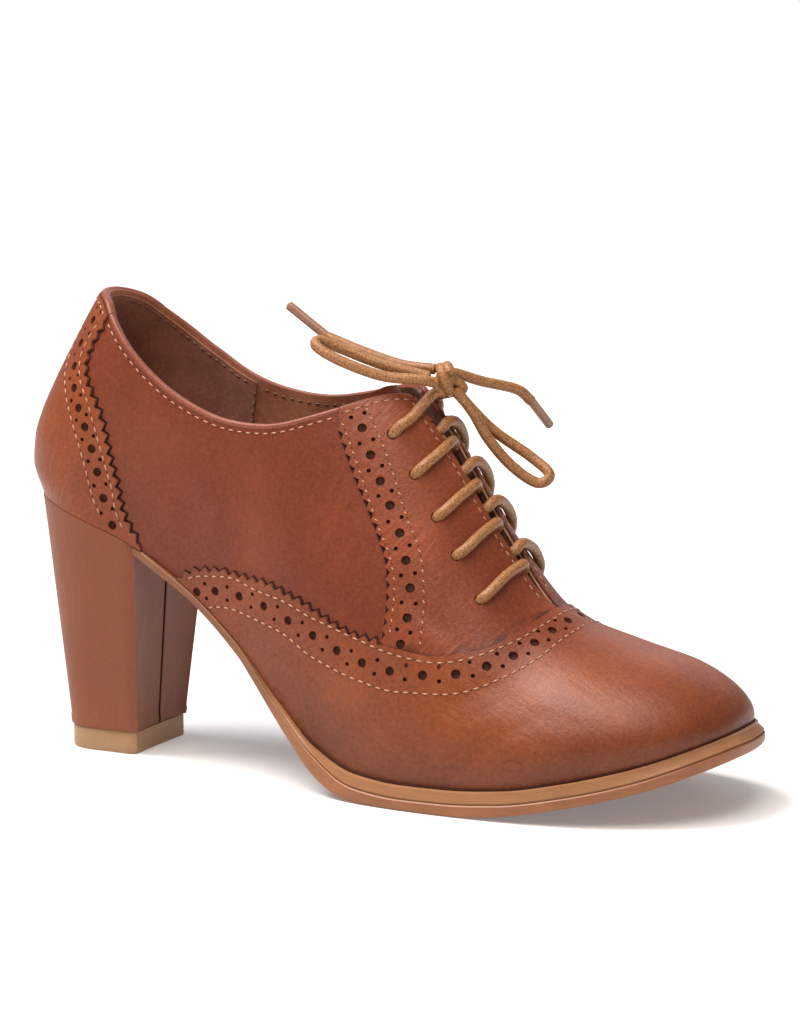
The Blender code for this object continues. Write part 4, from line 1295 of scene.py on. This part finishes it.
class SHOE_OT_stitching(bpy.types.Operator):
    """Sew the rows of stitches along the overlays, the collar and the throat"""

    bl_idname = "shoe.stitching"
    bl_label = "Stitching"

    def sew(self, thread, holes, sizes, line, side, depth=0.0, lapped=False, inside=False, long=0.31,
            slant=0.0):
        """One row of stitches along a line of stations and turns, with a dark disc of painted shade for a
        needle hole before each.
        """
        pitch, thick = sizes.mm("stitch"), sizes.mm("thread")
        places = evenly(line, side, step=pitch / 2)
        at, turn = places[:, 0], places[:, 1]
        if lapped:
            depth = depth - lap(at, turn)
        facing = normals(at, turn, side) * (-1 if inside else 1)
        points = leather(at, turn, side, depth) + facing * THREAD_LIFT
        for i in range(1, len(points) - 1, 2):
            way = Vector(points[i + 1] - points[i - 1]).normalized()
            if slant:
                way.rotate(Quaternion(Vector(facing[i]), -slant * side))
            across = Vector(facing[i]).cross(way).normalized()
            turn_to = Matrix((way, across, way.cross(across))).transposed().to_4x4()
            turn_to.translation = Vector(to_metres(points[i]))
            size = Matrix.Diagonal((long * pitch * MM, 0.5 * thick * MM, 0.45 * thick * MM, 1))
            bmesh.ops.create_uvsphere(thread, u_segments=6, v_segments=5, radius=1, matrix=turn_to @ size)
            if holes is not None:
                # Painted shade: a dark disc stands for the needle hole.
                needle = turned(points[i - 1] - facing[i - 1] * 0.05, facing[i - 1])
                bmesh.ops.create_circle(
                    holes, cap_ends=True, segments=6, radius=NEEDLE_RADIUS * MM, matrix=needle)

    def execute(self, context):
        sizes, known = context.scene.shoe_sizes, finishes(context)
        thread, holes, dark = bmesh.new(), bmesh.new(), bmesh.new()
        for side in BOTH:
            for name, line in STITCHED.items():
                # A row that starts at the collar stops short of its stitches.
                line = [(at, turn) for at, turn in line
                        if at > COLLAR_ROWS_TO or turn < float(top_edge(at, side)) - 0.02]
                tilted = {"long": 0.19, "slant": 0.5} if name.startswith("facing") else {}
                self.sew(thread, holes, sizes, line, side, lapped=name.startswith("wing"), **tilted)
            seam, corner = COUNTER_EDGE[0][0], FACING_EDGE[0][0]
            for start, end, inset, depth in (
                (seam + 1, corner, COLLAR_STITCH, QUARTER_FACE), (HEEL_LINE, seam - 1, COLLAR_STITCH, 0.0),
                (corner + 1, THROAT_STITCH_END, THROAT_STITCH, 0.0),
            ):
                self.sew(thread, holes, sizes, top_line(start, end, side, inset), side, depth)
            high = float(top_edge(GRIP_END, side)) - 0.03
            grip_seam = [(GRIP_END + 2 - 2 * t / high, t) for t in np.linspace(0.15, high, 8)]
            for line, depth in (
                (top_line(HEEL_LINE, GRIP_END - 1, side, LINING_STITCH), GRIP_FACE + GRIP_WALL),
                (top_line(GRIP_END + 2, LINING_STITCH_END, side, LINING_STITCH), LINING_FACE),
                (grip_seam, GRIP_FACE + GRIP_WALL),
            ):
                self.sew(dark, None, sizes, line, side, depth, inside=True)
        finish("stitches", thread, [known["polyester thread"]], sharp=80, merge=1e-8)
        finish("needle_hole_shade", holes, [known["painted hole shade"]], merge=1e-8)
        finish("lining_stitches", dark, [known["lining thread"]], sharp=80, merge=1e-8)
        return {"FINISHED"}


class SHOE_OT_tongue(bpy.types.Operator):
    """Make the tongue behind the throat"""

    bl_idname = "shoe.tongue"
    bl_label = "Tongue"

    def execute(self, context):
        known = finishes(context)
        across = np.linspace(-1, 1, 29)[None, :]
        top = TONGUE_TOP - 10.5 * np.abs(across) ** 1.6
        x = top + (TONGUE_END - top) * np.linspace(0, 1, 44)[:, None]
        wide = np.broadcast_to(TONGUE_HALF * across, x.shape)
        side = np.where(wide < 0, -1.0, 1.0)
        turn = np.where(wide < 0, turn_at_width(x, np.abs(wide), -1), turn_at_width(x, np.abs(wide), 1))
        ruffle = 0.4 * np.sin(across * 14) * ease((TONGUE_TOP - x) / 6)
        lifted = 2.6 * ease((TONGUE_TOP + 2 - x) / 10) + ruffle
        bm = bmesh.new()
        add_sheet(bm, leather(x, turn, side, TONGUE_FACE - lifted), (0, 0, 1))
        skins = [known["calf leather"], known["pigskin suede"]]
        tongue = finish("tongue_leather", bm, skins, ["tongue"])
        thicken(tongue, TONGUE_WALL, back=1)
        settle(tongue)
        return {"FINISHED"}


class SHOE_OT_sole(bpy.types.Operator):
    """Make the sock, the welt and the outsole"""

    bl_idname = "shoe.sole"
    bl_label = "Sole"

    def layer(self, start, rows):
        """A layer from a station to the toe, down one side and up the other.

        A row is an edge with a step out from it, and a level with a step up from it.
        """
        at = at_of(np.linspace(run_of(start), RUNS[-1], 170))
        rings = []
        for side, order in ((-1, rows), (1, rows[::-1])):
            for edge, out, level, up in order:
                points = surface(at, 0.0, side) + normals(at, 0.0, side) * (edge(at) + out)[:, None]
                points[:, 2] = level(points[:, 0]) + up
                rings.append(points)
        return skin_over(rings + rings[:1], 2e-5)

    def execute(self, context):
        known = finishes(context)

        def flush(x):
            return np.zeros(len(x))

        def edge(x):
            return smooth(SOLE, "edge", x) - 1.0 * (1 - ease((x - BREAST_AT) / 9))

        def inner(x):
            return edge(x) - (0.5 + 1.2 * ease((x - 190) / 38))

        def seam(x):
            return feather(x) - 0.15 - smooth(SOLE, "welt", x) * ease((x - 78) / 22)

        def upper(x):
            return 0.75 * feather(x) + 0.25 * seam(x)

        def lower(x):
            return 0.15 * feather(x) + 0.85 * seam(x)

        def tread(x):
            return smooth(SOLE, "tread", x)

        sock = self.layer(HEEL_LINE, (
            (flush, -5.2, feather, 2.4), (flush, -4.2, feather, 2.1), (flush, -3.9, feather, 1.4),
            (flush, -3.9, feather, 0.0),
        ))
        finish("sock", sock, [known["sock leather"]], ["insole"], closed=True)
        welt = self.layer(WELT_FROM, (
            (inner, -0.7, feather, -0.1), (inner, -0.15, feather, -0.3), (inner, 0.0, upper, -0.2),
            (edge, 0.0, lower, 0.0), (edge, -0.3, seam, 0.0),
        ))
        finish("welt_strip", welt, [known["stained welt"]], ["welt"], closed=True)
        outsole = self.layer(BREAST_AT + 0.3, (
            (edge, -0.05, seam, -0.1), (edge, 0.3, seam, -0.45), (edge, 0.3, tread, 1.4),
            (edge, 0.1, tread, 0.6), (edge, -0.4, tread, 0.15), (edge, -1.2, tread, 0.0),
        ))
        # Painted shadow: a dark cord along the crease between the upper and the welt.
        at = at_of(np.linspace(run_of(SHADOW_LINE_FROM), RUNS[-1], 160))
        shadow_line = bmesh.new()
        lines = []
        for side in BOTH:
            sunk = 0.15 - 1.2 * (1 - ease((at - 98) / 12))
            line = surface(at, 0.0, side) + normals(at, 0.0, side) * sunk[:, None]
            line[:, 2] = feather(line[:, 0]) + 0.1
            lines.append(line)
        add_tube(shadow_line, np.vstack([lines[0], lines[1][::-1][1:]]), SHADOW_LINE_RADIUS, 8)
        finish("welt_shadow_line", shadow_line, [known["dark dye and painted shadow"]], sharp=60)
        finish("sole_leather", outsole, [known["stained outsole"]], ["outsole"], closed=True)
        return {"FINISHED"}


class SHOE_OT_heel(bpy.types.Operator):
    """Make the covered heel and its top piece"""

    bl_idname = "shoe.heel"
    bl_label = "Heel"

    def outline(self, level, grow=0.0, seamed=True):
        """The heel's outline at a level, 0 at the seat and 1 at its foot."""
        shares = 1 - np.cos(np.linspace(0, pi / 2, 26))
        sides = []
        for side in BOTH:
            x = HEEL_LINE + shares * (BREAST_AT - HEEL_LINE)
            seat = surface(x, 0.0, side)
            seat[:, 2] -= 0.2
            foot_x = HEEL_FOOT[0] + shares * (HEEL_FOOT[1] - HEEL_FOOT[0])
            half = HEEL_FOOT_HALF * rounded_end(foot_x - HEEL_FOOT[0], HEEL_FOOT_ROUND, HEEL_FOOT_POWER)
            foot = np.stack([foot_x, side * half, np.full(len(x), TOP_PIECE + 0.1)], -1)
            sides.append(seat + (foot - seat) * level)
        lateral, medial = sides
        corner, other = lateral[-1], medial[-1]
        breast = []
        for share, sink in BREAST_ROWS:
            point = corner + (other - corner) * share
            point[0] -= sink if seamed else 0.0
            breast.append(point)
        line = np.vstack([lateral[::-1][1:], medial[1:-1], np.array(breast)[::-1]])
        return self.grown(line, grow)

    def grown(self, line, grow):
        """An outline moved out from its middle, level."""
        out = line - line.mean(0)
        out[:, 2] = 0
        return line + unit(out) * grow

    def execute(self, context):
        known = finishes(context)
        rows = [self.outline(level, grow) for level, grow in HEEL_ROWS]
        bm = skin_over([np.vstack([row, row[:1]]) for row in rows], 1e-6)
        skins = [known["heel cover leather"], known["dark dye and painted shadow"]]
        cover = finish("heel_cover", bm, skins, ["heel_block"], 30, closed=True)
        # The cover's ends meet in a dark seam down the breast.
        for face in cover.data.polygons:
            at, across = face.center.x / MM + MIDDLE_AT, face.center.y / MM
            if BREAST_SEAM[0] < across < BREAST_SEAM[1] and at > BREAST_FROM:
                face.material_index = 1

        rows = []
        base = self.outline(1.0, seamed=False)
        for height, grow in TOP_PIECE_ROWS:
            row = self.grown(base, grow)
            row[:, 2] = height
            rows.append(np.vstack([row, row[:1]]))
        bm = skin_over(rows, 1e-6)
        finish("top_piece", bm, [known["top piece rubber"]], ["heel_top_piece"], 30, closed=True)
        return {"FINISHED"}


STEPS = (
    SHOE_OT_stage, SHOE_OT_bow, SHOE_OT_lacing, SHOE_OT_quarters, SHOE_OT_overlays, SHOE_OT_stitching,
    SHOE_OT_tongue, SHOE_OT_sole, SHOE_OT_heel,
)


class SHOE_PT_panel(bpy.types.Panel):
    """Lists the shoe's pieces, sizes and colours"""

    bl_idname = "SHOE_PT_panel"
    bl_label = "Heeled brogue shoe"
    bl_space_type = "VIEW_3D"
    bl_region_type = "UI"
    bl_category = "Shoe"

    def draw(self, context):
        for group in (context.scene.shoe_sizes, context.scene.shoe_colours):
            for name in group.__annotations__:
                self.layout.prop(group, name)
        for step in STEPS:
            self.layout.operator(step.bl_idname)


CLASSES = (ShoeSizes, ShoeColours, *STEPS, SHOE_PT_panel)


def register():
    for made in CLASSES:
        bpy.utils.register_class(made)
    bpy.types.Scene.shoe_sizes = bpy.props.PointerProperty(type=ShoeSizes)
    bpy.types.Scene.shoe_colours = bpy.props.PointerProperty(type=ShoeColours)


def unregister():
    del bpy.types.Scene.shoe_sizes
    del bpy.types.Scene.shoe_colours
    for made in reversed(CLASSES):
        bpy.utils.unregister_class(made)


def main():
    register()
    bpy.ops.shoe.stage()
    bpy.ops.shoe.bow()
    bpy.ops.shoe.lacing()
    bpy.ops.shoe.quarters()
    bpy.ops.shoe.overlays()
    bpy.ops.shoe.stitching()
    bpy.ops.shoe.tongue()
    bpy.ops.shoe.sole()
    bpy.ops.shoe.heel()


if __name__ == "__main__":
    main()
